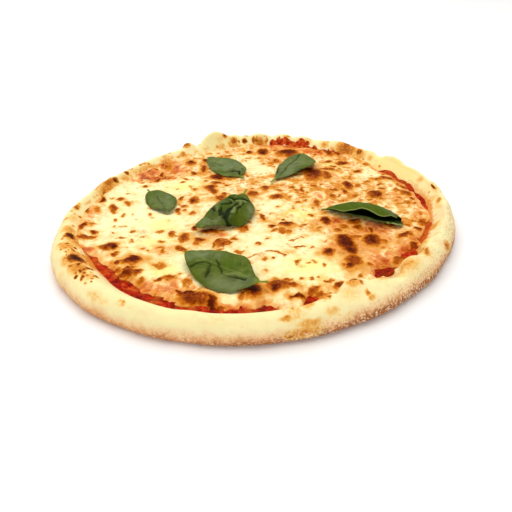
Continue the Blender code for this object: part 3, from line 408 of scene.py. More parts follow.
# Creases of each leaf, sunk into the blade and painted dark as shade: half width, depth, points
LEAF_CREASES = {
    "basil_front": (
        (0.8, 1, ((-43.7, -79.6), (-40.4, -77.6), (-36.4, -76.4))),
        (0.6, 0.85, ((-28.2, -75.1), (-26.2, -78.4), (-25.6, -81.8), (-25, -89))),
        (0.6, 0.5, ((-25, -89), (-19, -92))), (0.9, 1, ((-19, -92.1), (-14.8, -93.1), (-9.6, -97))),
        (0.9, 0.8, ((-32, -81.2), (-33, -87), (-34.3, -91))),
        (0.8, 0.6, ((-35.3, -76.6), (-31.2, -82))),
    ),
    "basil_centre": (
        (1.9, 1.5, ((-16, -1), (-19, -8), (-22.5, -15), (-24.5, -20))),
        (1.3, 1.1, ((-24.5, -20), (-23, -24), (-20, -25))),
        (1, 1, ((-16.5, 6), (-21, 2.7), (-27.7, 0.7))),
        (1.5, 1, ((-28, -4.5), (-29, -9), (-26.2, -16.5))),
        (1, 0.9, ((-34.5, 2), (-34, -4), (-31, -9))), (0.7, 0.6, ((-37, -17), (-31, -20.5))),
        (0.8, 0.8, ((-11.5, 1.5), (-13.5, -7), (-17, -14))), (0.6, 0.7, ((-13, 17), (-15.5, 11.5))),
        (1.2, 1.2, ((-9, 4), (-14.5, 4.5), (-21, 8))), (0.5, 0.5, ((-38, -24), (-31, -26))),
    ),
    "basil_left": (
        (0.8, 0.4, ((-70, 28.5), (-66, 24))), (0.7, 0.5, ((-72.4, 2), (-66.5, 0.8))),
        (0.7, 0.35, ((-79, 24), (-74, 12), (-71.5, 5))),
    ),
    "basil_back_left": (
        (0.7, 0.5, ((-37, 88.7), (-29.7, 84.3))), (1, 1, ((-15, 67.5), (-17, 72), (-24, 74))),
        (0.6, 0.7, ((-12.4, 71), (-13.2, 76))),
    ),
    "basil_back_right": (
        (0.6, 0.55, ((16.3, 57.1), (27.7, 82.3), (37.7, 101.8))), (0.7, 1, ((16.2, 65), (17, 76))),
        (0.6, 0.8, ((34, 64.8), (39.4, 66.4))),
    ),
    "basil_right": (
        (0.7, 0.7, ((86, -24.5), (98, -22))),
    ),
}
# How sharp the painted shade in the creases is, on each leaf
CREASE_CRISP, OTHER_CREASES_CRISP = {"basil_centre": 1.0}, 0.35
# Painted highlights along the ridges between its folds, told the same way
LEAF_RIDGE_HIGHLIGHTS = {
    "basil_centre": (
        (0.9, 0.9, ((-13.5, 1), (-16.2, -7), (-19.8, -15))),
        (0.8, 0.9, ((-20.5, 6), (-15, 2.5), (-10.5, 2))), (0.7, 0.5, ((-31.5, -2), (-31, -9))),
    ),
    "basil_front": (
        (1.2, 0.5, ((-22, -90), (-14, -91), (-8, -93.5))), (1, 0.5, ((-41, -75), (-36, -74))),
    ),
}
# Where an edge is drawn in or out a little: x, y, reach, shift in x, y and z, and which half of the
# blade it takes along: the left one (1), the right one (-1) or both (0)
LEAF_TUCKS = {
    "basil_front": (
        (1, -87, 9, -4.2, -2.2, -1, 0), (-3, -80, 6, -1.5, 0.5, 0, 0), (-4, -99, 5, 1.5, -1.5, 0, 0),
    ),
    "basil_centre": (
        (-42, -24, 5, -3, -3, -0.5, 0), (-31, -28.5, 6, 0.5, 2.5, 0.5, 0), (-17, 12, 5, -2, 1.5, 1, 0),
    ),
    "basil_right": (
        (74, -18, 6, 0, 1.6, 1.4, 1), (86, -22, 5, 0, -0.8, -0.8, 1), (58, -11, 6, 0, -1, -1.2, 1),
        (98, -21, 8, -2, 4.5, 0.5, 1), (97, -19, 9, 1, -5.5, 0.5, -1), (82, -17, 9, 0, -2, 0, -1),
    ),
}
# Vivid places of the leaves, and places with painted grey sheen, as spots
LEAF_VIVID = (
    (-20.5, -80, 5.5, 6.5, 1), (-11.7, -91.5, 2.4, 1.8, 0.9), (-38, -75.2, 3.2, 1.6, 0.9),
    (-28, -104, 3.5, 1.5, 0.6), (-38, -92, 7, 2, 0.6, -50), (-25.5, -5, 4, 6, 1), (-17.3, 9.9, 5, 4, 1),
    (-13.5, -8, 2.5, 8, 0.9, -20), (37.2, 71.5, 4.5, 3.5, 0.9), (-31, 73, 6, 2.5, 0.9, -10),
    (24, 100, 5, 4, 0.4), (-80, 30, 6, 3, 0.4),
)
LEAF_PAINTED_SHEEN = (
    (-19.5, -97.7, 13, 5, 1, -10), (-39, -68, 8, 4, 1), (-27, -71, 3, 4, 0.8), (-35, -23, 7, 4, 0.9),
    (-6, -8, 3, 9, 0.9), (-31, 3, 5, 3, 0.8), (-27, 84, 17, 12, 1, -30), (27, 76, 12, 26, 0.9, -28),
    (-72, 14, 8, 15, 0.7, 20), (-70, 20, 3.5, 5, 1, 10), (96, -13, 5, 7, 0.9),
)


# Numbers

def linear(colour):
    """A hex colour as it is written for screens, turned to the linear one that light adds in."""
    parts = [int(colour[k:k + 2], 16) / 255 for k in (1, 3, 5)]
    return tuple(c / 12.92 if c <= 0.04045 else ((c + 0.055) / 1.055) ** 2.4 for c in parts) + (1.0,)


def hump(bearing, degrees, spread):
    """1 at this bearing, fading out evenly to both sides of it."""
    off = abs((bearing - radians(degrees) + pi) % (2 * pi) - pi) / radians(spread)
    return np.exp(-off * off)


def strongest(bearing, table):
    """The strongest of a table's humps at each bearing."""
    value = 0.0 * bearing
    for degrees, spread, strength in table:
        value = np.maximum(value, strength * hump(bearing, degrees, spread))
    return value


def eased(low, high, value):
    """0 below low, 1 above high and an even passage between them."""
    share = np.clip((value - low) / (high - low), 0.0, 1.0)
    return share * share * (3 - 2 * share)


def swell(x, y, z, length, seed):
    """Smooth noise from about -1 to 1 with swells of this length."""
    x, y, z = np.broadcast_arrays(x, y, z)
    columns = (x / length + seed, y / length - seed, z / length)
    places = zip(*(column.ravel().tolist() for column in columns))
    return np.array([noise.noise(place) for place in places]).reshape(x.shape)


def swells(start, x, y, z, *layers):
    """Swells added one by one to a start: how strong, how long and which seed each is."""
    for strength, length, seed in layers:
        start = start + strength * swell(x, y, z, length, seed)
    return start


# How fast a spot or line fades, half gone at its outline, and how many half sizes out it is drawn
SPOT_FADE, SPOT_REACH = 0.7, 2.6


def soft_core(off):
    """Full in the middle of a spot and half at its outline, where off is 1."""
    return np.exp(-SPOT_FADE * off ** 2)


def crisp_core(off):
    """As even as a patch up to its outline, and gone soon beyond."""
    return np.exp(-SPOT_FADE * off ** 3.4)


def baked_core(off):
    """Darkest in the middle, then even, and fading out as a blister browns."""
    return 0.68 * crisp_core(off) + 0.42 * np.exp(-0.9 * off ** 1.8)


def off_middle(x, y, middle_x, middle_y, half_length, half_width, strength, degrees=0.0):
    """How far each place is off the middle of a spot, along it and across it, in half sizes."""
    right, back = x - middle_x, y - middle_y
    turn = radians(degrees)
    along = (right * cos(turn) + back * sin(turn)) / half_length
    return along, (back * cos(turn) - right * sin(turn)) / half_width


def ellipse_field(x, y, spots, profile=soft_core):
    """The strongest of the spots at each place."""
    field = np.zeros_like(x)
    for spot in spots:
        reach = SPOT_REACH * max(spot[2:4])
        near = (abs(x - spot[0]) < reach) & (abs(y - spot[1]) < reach)
        along, across = off_middle(x[near], y[near], *spot)
        field[near] = np.maximum(field[near], spot[4] * profile(np.hypot(along, across)))
    return field


def line_field(x, y, lines):
    """The strongest of the lines at each place."""
    field = np.zeros_like(x)
    for half_width, strength, points in lines:
        for (ax, ay), (bx, by) in zip(points, points[1:]):
            length = (bx - ax) ** 2 + (by - ay) ** 2
            share = np.clip(((x - ax) * (bx - ax) + (y - ay) * (by - ay)) / length, 0.0, 1.0)
            off = np.hypot(x - ax - share * (bx - ax), y - ay - share * (by - ay)) / half_width
            field = np.maximum(field, strength * np.exp(-SPOT_FADE * off * off))
    return field


# Shape of the outline and of the rim

def outline_radius(bearing):
    radius = OUTER_RADIUS
    for count, height, degrees in LOBES:
        radius = radius + height * np.cos(count * (bearing - radians(degrees)))
    radius = radius + LEFT_BULGE[0] * hump(bearing, *LEFT_BULGE[1:])
    radius = radius - FRONT_FLAT[0] * hump(bearing, *FRONT_FLAT[1:])
    x, y = OUTER_RADIUS * np.cos(bearing), OUTER_RADIUS * np.sin(bearing)
    return radius + EDGE_UNEVEN * swell(x, y, 0.0, EDGE_UNEVEN_LENGTH, 3.1)


def foot_radius(bearing):
    """Where the rim's inner slope leaves the flat of the base."""
    width = RIM_WIDTH
    for degrees, spread, more in RIM_WIDER:
        width = width + more * hump(bearing, degrees, spread)
    return outline_radius(bearing) - width


def slope_rise(reach):
    return SLOPE_STEEP * reach - SLOPE_EASE * reach * reach


def slope_reach(height):
    """How far outside its foot the inner slope reaches this height above the base."""
    return (SLOPE_STEEP - np.sqrt(SLOPE_STEEP ** 2 - 4 * SLOPE_EASE * height)) / (2 * SLOPE_EASE)


# Profile of the rim: share of its width, height, how uneven it is there
RIM_PATH = (
    (-0.15, BASE_TOP, 0.0), (0.0, BASE_TOP, 0.0), (0.13, BASE_TOP + slope_rise(0.13 * RIM_WIDTH), 0.0),
    (0.27, BASE_TOP + slope_rise(0.27 * RIM_WIDTH), 0.1),
    (0.42, BASE_TOP + slope_rise(0.42 * RIM_WIDTH), 0.4),
    (0.57, 16.8, 1.0), (0.72, 16.2, 1.0), (0.85, 13.9, 1.0), (0.95, 10.6, 1.0), (1.0, 7.0, 1.0),
    (0.985, 3.6, 0.8), (0.93, 1.2, 0.0), (0.84, 0.0, 0.0),
)


def smooth_path(path, count):
    """A smooth line through every point of a path, as this many points."""
    rows = np.array(path)
    rows = np.vstack((2 * rows[0] - rows[1], rows, 2 * rows[-1] - rows[-2]))
    place = np.linspace(0, len(path) - 1.000001, count)
    piece = place.astype(int)
    t = (place - piece)[:, None]
    a, b, c, d = (rows[piece + k] for k in range(4))
    bend = t * (c - a + t * (2 * a - 5 * b + 4 * c - d + t * (3 * b - a - 3 * c + d)))
    return b + 0.5 * bend


def push_bubble(points, bubble):
    """How far the points of the rim that lie under a bubble move out over it."""
    degrees, inside, height, radius, tall = bubble
    middle = radians(degrees)
    edge = float(outline_radius(np.array(middle)))
    way = np.array((cos(middle), sin(middle), 0.0))
    peak = way * (edge - inside) + np.array((0.0, 0.0, height))
    core = way * (edge - RIM_CORE) + np.array((0.0, 0.0, RIM_CORE_HEIGHT))
    away = (peak - core) / np.linalg.norm(peak - core)
    distance = np.linalg.norm(points - peak, axis=-1) / (BUBBLE_SKIRT * radius)
    return away * (tall * np.maximum(0.0, 1.0 - distance * distance) ** BUBBLE_ROUND)[..., None]


def rim_field(radius, height, warp_long, warp_wide):
    """The strongest of the toasted places at each point of the rim."""
    edge = outline_radius(ROUND)
    field = np.zeros_like(radius)
    for degrees, inside, level, half_length, half_width, strength in RIM_TOAST:
        along = ((ROUND - radians(degrees) + pi) % (2 * pi) - pi) * edge + warp_long
        across = np.hypot(radius - (edge - inside) + warp_wide, height - level)
        off = (along / half_length) ** 2 + (across / half_width) ** 2
        field = np.maximum(field, strength * np.exp(-SPOT_FADE * off ** 1.3))
    return field


# Meshes

def make_piece(name, points, faces, material, **fields):
    """A smooth mesh from places in millimetres, with a number at each for what the material shows."""
    mesh = bpy.data.meshes.new(name)
    places = (np.asarray(points).reshape(-1, 3) - MIDDLE) * MM
    mesh.from_pydata(places.tolist(), [], [face.tolist() for face in faces])
    for field, values in fields.items():
        attribute = mesh.attributes.new(field, "FLOAT", "POINT")
        attribute.data.foreach_set("value", np.ravel(values).astype(np.float32))
    mesh.polygons.foreach_set("use_smooth", np.ones(len(mesh.polygons), dtype=bool))
    mesh.materials.append(material)
    mesh.update()
    piece = bpy.data.objects.new(name, mesh)
    bpy.context.scene.collection.objects.link(piece)
    return piece


def fan_faces(ring, middle):
    """Faces from each pair of neighbours of a ring to the point in its middle."""
    return np.stack((ring, np.roll(ring, -1), np.full_like(ring, middle)), axis=-1)


def closed_rings(rings, above, below):
    """Places and faces of rings that start on top, go out and round under, and are closed in the
    middle at these two heights."""
    places = np.concatenate((rings.reshape(-1, 3), ((0.0, 0.0, above), (0.0, 0.0, below))))
    row, step = np.meshgrid(np.arange(len(rings) - 1), np.arange(RIM_STEPS), indexing="ij")
    ahead = (step + 1) % RIM_STEPS
    near, far = row * RIM_STEPS, (row + 1) * RIM_STEPS
    faces = list(np.stack((near + step, far + step, far + ahead, near + ahead), axis=-1).reshape(-1, 4))
    first = np.arange(RIM_STEPS)
    faces += list(fan_faces(first, len(places) - 2))
    faces += list(fan_faces(first[::-1] + (len(rings) - 1) * RIM_STEPS, len(places) - 1))
    return places, faces


def grid_faces(rows, columns):
    """Faces of a grid of points, and the points round its edge in order."""
    index = np.arange(rows * columns).reshape(rows, columns)
    corners = index[:-1, :-1], index[1:, :-1], index[1:, 1:], index[:-1, 1:]
    ring = np.concatenate((index[:-1, 0], index[-1, :-1], index[:0:-1, -1], index[0, :0:-1]))
    return np.stack(corners, axis=-1).reshape(-1, 4), ring


# Crust

def shape_rim():
    """Points of the rim in rings, the share of its width and how uneven it is on each, and the way
    outward from its core."""
    share, height, ease = (column[:, None] for column in smooth_path(RIM_PATH, RIM_ROWS).T)
    inner, outer = foot_radius(ROUND), outline_radius(ROUND)
    way_x, way_y = np.cos(ROUND), np.sin(ROUND)
    beyond = np.maximum(0.0, share - SLOPE_SHARE) / (1.0 - SLOPE_SHARE)
    reach = np.minimum(share, SLOPE_SHARE) * RIM_WIDTH
    reach = reach + beyond * (outer - inner - SLOPE_SHARE * RIM_WIDTH)
    radius = inner + reach
    points = np.stack((radius * way_x, radius * way_y, height + 0 * radius), axis=-1)
    even_radius = OUTER_RADIUS - RIM_WIDTH + share * RIM_WIDTH
    lift = RIM_UNEVEN * swell(points[..., 0], points[..., 1], 0.0, RIM_UNEVEN_LENGTH, 7.7)
    points[..., 2] += ease * lift * np.clip((height - FLAT_BELOW) / (FULL_ABOVE - FLAT_BELOW), 0.0, 1.0)
    tilt = (height - RIM_BELLY) / (RIM_TOP - RIM_BELLY)
    outward = np.stack((way_x + 0 * tilt, way_y + 0 * tilt, tilt + 0 * ROUND), axis=-1)
    outward /= np.linalg.norm(outward, axis=-1, keepdims=True)
    skin = SKIN_UNEVEN * swell(even_radius * way_x, even_radius * way_y, height, SKIN_UNEVEN_LENGTH, 1.9)
    points += (ease * skin)[..., None] * outward
    for bubbles, yielding in ((RIM_BUBBLES, ease), (SLOPE_BUMPS, eased(0.05, 0.30, share))):
        for bubble in bubbles:
            points += yielding[..., None] * push_bubble(points, bubble)
    return points, share, ease, outward


def scattered_flecks():
    """The oven's flecks on the rim, as spots."""
    generator = np.random.default_rng(SEED + 1)
    flecks = []
    for degrees, spread, nearest, furthest, count, brown in FLECKED:
        for _ in range(count):
            way = radians(generator.normal(degrees, 0.7 * spread))
            away = float(outline_radius(np.array(way))) - generator.uniform(nearest, furthest)
            size, dark = generator.uniform(*FLECK_SIZES), brown * generator.uniform(*FLECK_SHADES)
            flecks.append((away * cos(way), away * sin(way), FLECK_LONG * size, size, dark,
                           np.degrees(way) + 90))
    return flecks


def make_crust(material):
    points, share, ease, outward = shape_rim()
    x, y, z = np.moveaxis(points, -1, 0)
    warp_long = swells(0.0, x, y, z, (1.6, 4.5, 11), (0.9, 1.9, 12))
    warp_wide = swells(0.0, x, y, z, (1.4, 4.0, 13), (0.8, 1.8, 14))
    mottle = swells(0.5, x, y, z, (0.5, 11.0, 15), (0.25, 4.0, 16))
    on_slope = eased(0.62, 0.34, share) * eased(BASE_TOP, BASE_TOP + 2.0, z)
    outside = eased(0.66, 0.92, share)

    # Toasted on its bubbles, mottled on its slope and flecked by the oven
    toast = rim_field(np.hypot(x, y), z, warp_long, warp_wide)
    slope_toast = SLOPE_TOAST
    for degrees, spread, paler in PALE_SLOPE:
        slope_toast = slope_toast - paler * hump(ROUND, degrees, spread)
    toast = np.maximum(toast, slope_toast * on_slope * eased(0.2, 0.8, mottle))
    toast = toast + PATCHY_TOAST * eased(0.62, 0.95, mottle) * eased(0.5, 0.6, share)
    toast = np.maximum(toast, ellipse_field(x, y, scattered_flecks()) * eased(0.85, 0.7, share))

    # Tan and floured down its outer side, more so at the right and in front; the tan toward the foot
    # is partly baked colour and partly painted shade
    right, front = hump(ROUND, *RIGHT_SIDE), hump(ROUND, *FRONT_SIDE)
    side = outside * eased(TAN_TOP + TAN_TOP_RIGHT * right, TAN_FULL, z + warp_wide)
    side = side * (0.58 + 0.27 * front + 0.75 * right)
    side = np.maximum(side, 0.08 * hump(ROUND, *SIDE_FAR_RIGHT))
    dust_top, dust_full = FLOUR_TOP + FLOUR_TOP_RIGHT * right, FLOUR_FULL + FLOUR_FULL_RIGHT * right
    floured = outside * eased(dust_top, dust_full, z + 1.6 * warp_wide)
    floured = floured * (0.10 + 0.40 * front + 0.65 * right)
    floured = np.maximum(floured, 0.45 * hump(ROUND, *FLOUR_FAR_RIGHT) * eased(0.5, 0.68, share))

    # Oily, golden or smeared with sauce on its inner slope; the golden yellow is partly toasting and
    # partly painted warm light on slopes in shade
    oily, golden = (
        sum(strength * hump(ROUND, degrees, spread) for degrees, spread, strength in stretches)
        for stretches in (OILY_SLOPE, GOLDEN_SLOPE))
    oily = np.clip(oily + 0.25, 0.0, 1.0) * on_slope * eased(13.0, 8.0, z + 1.5 * warp_wide)
    golden = np.clip(golden, 0.0, 1.0) * eased(0.75, 0.45, share) * (0.4 + 0.8 * mottle)
    smeared = ellipse_field(x + 0.8 * warp_long, y + 0.8 * warp_wide, SMEARED, crisp_core)
    streaks = hump(ROUND, *STREAKED) * eased(12.6, 10.4, z + 1.6 * warp_wide)
    smeared = np.maximum(smeared, 0.75 * streaks) * eased(0.56, 0.48, share)

    # Fine skin: wrinkles and dimples of baked dough, deeper where it has blistered and charred
    fine = swells(0.0, x, y, z, (0.32, 4.6, 21), (0.15, 1.8, 22))
    fine = fine - 0.5 * eased(0.42, 0.75, swell(x, y, z, 7.5, 24))
    fine = fine + 0.30 * toast * swell(x, y, z, 1.5, 23) + 0.5 * smeared
    points += (ease * fine)[..., None] * outward

    flat = points[-1] * np.array((1.0, 1.0, 0.0))
    bottom = [flat * (1 - ring / UNDERSIDE_RINGS) for ring in range(1, UNDERSIDE_RINGS)]
    places, faces = closed_rings(np.concatenate((points, np.array(bottom))), BASE_TOP, 0.0)

    def over(values, under):
        spare = np.full((len(bottom), RIM_STEPS), under)
        return np.concatenate((np.concatenate((values + 0 * z, spare)).ravel(), (0.0, under)))

    return make_piece(
        "baked_crust", places, faces, material,
        toast=over(toast, 0.42), side=over(side, 0.8), floured=over(floured, 0.6),
        oily=over(oily, 0.0), smeared=over(smeared, 0.0), golden=over(golden, 0.0))


# Sauce and cheese

def sauce_show(bearing):
    """Width of sauce left bare between the cheese and the rim."""
    return strongest(bearing, SAUCE_STRETCHES)


def cheese_climb(bearing):
    """1 where the cheese runs up onto the rim's slope, 0 where the sauce shows."""
    return np.maximum(0.0, 1.0 - sauce_show(bearing) / CHEESE_CLIMB_BARE)


def cheese_reach(bearing):
    """Radius of the cheese edge at its underside."""
    climb = cheese_climb(bearing)
    x, y = OUTER_RADIUS * np.cos(bearing), OUTER_RADIUS * np.sin(bearing)
    wander = CHEESE_LOBE * (0.5 - 0.5 * swell(x, y, 0.0, CHEESE_LOBE_LENGTH, 5.3))
    slope_room = slope_reach(CHEESE_LOW - BASE_TOP) - CHEESE_SHORT
    return foot_radius(bearing) + climb * slope_room - (1.0 - climb) * wander - sauce_show(bearing)


def cheese_edge_height(bearing):
    """Height of the cheese at its edge: higher where it has run up the slope."""
    behind = 0.5 + 0.5 * np.cos(bearing - CHEESE_CREEP_BEARING)
    return CHEESE_EDGE_TOP + cheese_climb(bearing) * (CHEESE_CLIMB + behind * CHEESE_CREEP)


def cheese_brink(bearing, ragged=0.0, soaked=-CHEESE_SHORT):
    """Radius and height of the cheese edge at its top, where ragged is how far it strays."""
    climb = cheese_climb(bearing)
    if soaked > 0:
        climb = np.maximum(climb, strongest(bearing, CHEESE_TONGUES))
    more = cheese_edge_height(bearing) - CHEESE_EDGE_TOP + RAGGED_LIFT * ragged
    edge = CHEESE_EDGE_TOP + climb * more
    on_slope = foot_radius(bearing) + slope_reach(edge - BASE_TOP) + soaked
    free = cheese_reach(bearing) + CHEESE_OVERHANG
    if soaked > 0:
        free = free + sauce_show(bearing) * (RUN_OUT + RUN_OUT_RAGGED * ragged)
        edge = edge - CHEESE_THIN * (1.0 - climb)
    return climb * on_slope + (1.0 - climb) * free, edge


def cheese_height(x, y, brink, edge):
    """Height of the cheese inside its edge, with its blisters."""
    height = swells(CHEESE_TOP, x, y, 0.0, (CHEESE_SWELL, CHEESE_SWELL_LENGTH, 2.2),
                    (CHEESE_RIPPLE, CHEESE_RIPPLE_LENGTH, 9.4))
    blisters = 0.0 * x
    for blister in CHEESE_BLISTERS:
        along, across = off_middle(x, y, *blister)
        steep = np.exp(-BLISTER_STEEP * (along * along + across * across))
        blisters = np.maximum(blisters, blister[4] * steep)
    height = height + blisters
    inside = brink - np.hypot(x, y)
    share = np.sin(np.clip(inside / CHEESE_ROUNDING, 0.0, 1.0) * pi / 2)
    return edge + (height - edge) * share


def disc_grid(cells):
    """A square grid bent to a disc: reach from 0 to 1 and bearing of each point."""
    a, b = np.meshgrid(np.linspace(-1, 1, cells + 1), np.linspace(-1, 1, cells + 1), indexing="ij")
    u, v = a * np.sqrt(1 - b * b / 2), b * np.sqrt(1 - a * a / 2)
    return np.hypot(u, v), np.arctan2(v, u)


def scattered_freckles():
    """Small golden and brown spots all over the cheese, fewer on the left where it stayed pale."""
    draw = np.random.default_rng(SEED).uniform
    spots = []
    while len(spots) < FRECKLES:
        bearing, share = draw(0, 2 * pi), draw(0, 1) ** 0.5
        x, y = share * FRECKLED_RADIUS * cos(bearing), share * FRECKLED_RADIUS * sin(bearing)
        warm = FRECKLE_CHANCE + FRECKLE_DRIFT * (x + 0.8 * y) / FRECKLE_DRIFT_OVER
        warm = warm + FRECKLE_DRIFT * draw(-1, 1)
        size, strength = draw(*FRECKLE_SIZES), draw(*FRECKLE_SHADES)
        stretch, turn = draw(*FRECKLE_STRETCH), draw(*FRECKLE_TURN)
        if warm > draw(0, 1):
            spots.append((x, y, size * stretch, size, strength, turn))
    return spots


def make_cheese(material):
    reach, bearing = disc_grid(CHEESE_CELLS)
    way_x, way_y = np.cos(bearing), np.sin(bearing)
    ragged = swells(0.0, RAGGED_RADIUS * way_x, RAGGED_RADIUS * way_y, 0.0, (1.3, 11.0, 31), (0.5, 4.5, 32))
    brink, edge = cheese_brink(bearing, ragged, SOAKED)
    x, y = reach * brink * way_x, reach * brink * way_y
    z = cheese_height(x, y, brink, edge)

    # Places are looked up a little aside, so that no spot keeps an even outline
    warp_x = swells(x, x, y, 0.0, (1.5, 5.2, 41), (1.1, 2.3, 42))
    warp_y = swells(y, x, y, 0.0, (1.5, 5.2, 43), (1.1, 2.3, 44))
    freckles = scattered_freckles()
    browned = ellipse_field(warp_x, warp_y, BROWNED, baked_core)
    # The larger browned places are lighter toward the front and darker at the back, and all have a golden
    # halo
    front_lighter = [
        (a, b - 0.25 * d, 0.62 * c, 0.58 * d, *rest) for a, b, c, d, *rest in BROWNED if min(c, d) > 1.9]
    browned = browned - 0.20 * ellipse_field(warp_x, warp_y, front_lighter) * eased(1.05, 0.55, browned)
    browned = np.maximum(browned, line_field(warp_x, warp_y, FOLD_EDGES))
    browned = np.maximum(1.07 * browned, 0.92 * ellipse_field(warp_x, warp_y, freckles, baked_core))
    halo = ellipse_field(warp_x, warp_y, [
        (a, b, HALO_WIDER * c + HALO_MORE, HALO_WIDER * d + HALO_MORE, *rest)
        for a, b, c, d, *rest in BROWNED + tuple(freckles)])

    wide_x = swells(x, x, y, 0.0, (5.0, 13.0, 51), (2.6, 5.5, 52))
    wide_y = swells(y, x, y, 0.0, (5.0, 13.0, 53), (2.6, 5.5, 54))
    stained, pale, buttery, warmed = (
        ellipse_field(wide_x, wide_y, spots) for spots in (STAINED, PALE, BUTTERY, WARMED))
    browned = browned * (1.0 - 0.26 * pale * eased(0.75, 0.35, browned))
    blotch = swells(0.5, x, y, 0.0, (0.7, 8.5, 61), (0.45, 3.6, 62))
    region = eased(-120.0, 100.0, x + 0.8 * y)
    toasted = (0.25 + 0.33 * region) * eased(0.20, 0.80, blotch) * (1.0 - 0.75 * pale)
    toasted = np.maximum(toasted, warmed * (0.45 + 0.6 * blotch))
    blush = (0.14 + 0.30 * region) * eased(0.35, 0.9, 1.0 - blotch + 0.35 * swell(x, y, 0.0, 5.0, 63))
    inward = brink * (1 - reach)
    by_sauce = eased(*BY_SAUCE, sauce_show(bearing))
    fringe = eased(FRINGE_WIDE, FRINGE_FULL, inward + 3.0 * blotch - 1.5)
    toasted = np.maximum(toasted, fringe * (0.26 + 0.25 * blotch + 0.18 * by_sauce))
    warmth = np.clip(toasted + halo * (0.72 - 0.34 * pale), 0.0, 1.0)
    stained = stained * (0.50 + 0.75 * blotch) + 0.48 * fringe * blotch * by_sauce
    stained = np.clip(np.maximum(stained, blush * (1.0 - 0.8 * pale)), 0.0, 1.0)

    # Curds that never quite ran together, pits between them, and browned skin standing up
    inner = eased(0.0, EDGE_EVEN, inward)
    curds = swells(0.0, x, y, 0.0, (0.62, 6.0, 71), (0.30, 2.6, 72))
    ridge = 0.75 * (0.4 - abs(swell(x, y, 0.0, 9.0, 73)))
    z = z + inner * (curds + ridge + SKIN_RAISED * eased(0.15, 0.7, browned))
    z = z + inner * SKIN_ROUGH * browned * swell(x, y, 0.0, 1.6, 74)

    quads, ring = grid_faces(CHEESE_CELLS + 1, CHEESE_CELLS + 1)
    grid = np.stack((x, y, z), axis=-1).reshape(-1, 3)
    top = grid[ring]
    ring_bearing = np.arctan2(top[:, 1], top[:, 0])
    out = np.stack((np.cos(ring_bearing), np.sin(ring_bearing)), axis=-1)
    skirt = []
    for outward, drop in CHEESE_SKIRT:
        row = top.copy()
        row[:, :2] += outward * out
        row[:, 2] = np.maximum(top[:, 2] - drop, CHEESE_BOTTOM)
        skirt.append(row)
    places = np.concatenate([grid] + skirt + [np.array([(0.0, 0.0, CHEESE_BOTTOM)])])
    rows = [ring] + [len(grid) + k * len(ring) + np.arange(len(ring)) for k in range(len(skirt))]
    faces = list(quads)
    for upper, lower in zip(rows, rows[1:]):
        faces += list(np.stack((upper, lower, np.roll(lower, -1), np.roll(upper, -1)), axis=-1))
    faces += list(fan_faces(rows[-1][::-1], len(places) - 1))

    def over(values):
        flat = (values + 0 * x).ravel()
        return np.concatenate([flat] + [flat[ring]] * len(skirt) + [(0.3,)])

    return make_piece(
        "melted_mozzarella", places, faces, material,
        browned=over(browned), warmth=over(warmth), stained=over(stained),
        buttery=over(buttery * (1 - stained)))


def make_sauce(material):
    way_x, way_y = np.cos(ROUND), np.sin(ROUND)
    foot = foot_radius(ROUND)
    bare = eased(0.6, 2.2, sauce_show(ROUND))
    smooth = hump(ROUND, *SAUCE_SMOOTH)
    stray = (1.3 - 0.9 * smooth) * swell(RAGGED_RADIUS * way_x, RAGGED_RADIUS * way_y, 0.0, 6.0, 85)
    top = SAUCE_TOP + bare * np.maximum(0.0, strongest(ROUND, SAUCE_CLIMBS) + stray)
    outer = foot + slope_reach(top - BASE_TOP)
    inner = np.minimum(cheese_brink(ROUND, 0.0, SOAKED)[0], outer) - SAUCE_UNDER
    share = np.linspace(0, 1, SAUCE_ROWS)[:, None]
    radius = inner + share * (outer - inner)
    x, y = radius * way_x, radius * way_y
    slope = BASE_TOP + slope_rise(np.maximum(0.0, radius - foot))

    # Lumps of pulp where it is bare, and a film that thins out up the slope
    pulp = 1.2 * abs(swell(x, y, 0.0, 5.2, 81)) + 0.5 * abs(swell(x, y, 0.0, 2.4, 82))
    lumps = SAUCE_LUMP * (0.55 + 0.45 * swell(x, y, 0.0, SAUCE_LUMP_LENGTH, 4.6))
    lumps = lumps + PULP_RAISED * pulp - 0.5
    lumps = (1.0 - 0.75 * smooth) * (bare * eased(0.0, 0.35, share)) * lumps
    film = (SAUCE_FILM + SAUCE_FILM_LUMPY * lumps) * np.sin(pi * share) ** 0.6
    film = film - 0.5 * eased(0.94, 1.0, share)
    z = np.maximum(SAUCE_TOP + lumps * eased(1.0, 0.8, share), slope + film)
    z = np.where(bare > 0.05, z, np.minimum(z, SAUCE_TOP))
    wet = swells(0.5, x, y, 0.0, (0.6, 5.0, 83), (0.3, 2.2, 84))
    orange = strongest(ROUND, SAUCE_OILY) * (0.55 + 0.7 * wet) + 0.6 * eased(0.70, 0.95, wet)
    orange = np.clip(orange + 0.35 * eased(0.90, 1.0, share), 0.0, 1.0)
    # Dark: dried pulp, and painted shade where the sauce lies in wedges between cheese and rim
    charred = np.clip(strongest(ROUND, SAUCE_DARK) * (0.5 + 0.8 * wet), 0.0, 1.0)

    bottom = BASE_TOP + SAUCE_BOTTOM
    low = np.stack((x[-1], y[-1], 0 * x[-1] + bottom), axis=-1)
    rings = np.concatenate((np.stack((x, y, z), axis=-1), low[None]))
    places, faces = closed_rings(rings, SAUCE_TOP, bottom)

    def over(values):
        rows = np.concatenate((values + 0 * x, np.zeros((1, RIM_STEPS))))
        return np.concatenate((rows.ravel(), (0.0, 0.0)))

    return make_piece(
        "tomato_sauce", places, faces, material, orange=over(orange), charred=over(charred))


# Basil

def blade_half_width(along, widest):
    blade = np.clip((along - LEAF_STEM_SHARE) / (1 - LEAF_STEM_SHARE), 0.0, 1.0)
    bend = log(0.5) / log(widest)
    return np.maximum(0.0, np.sin(pi * blade ** bend)) ** LEAF_FULLNESS


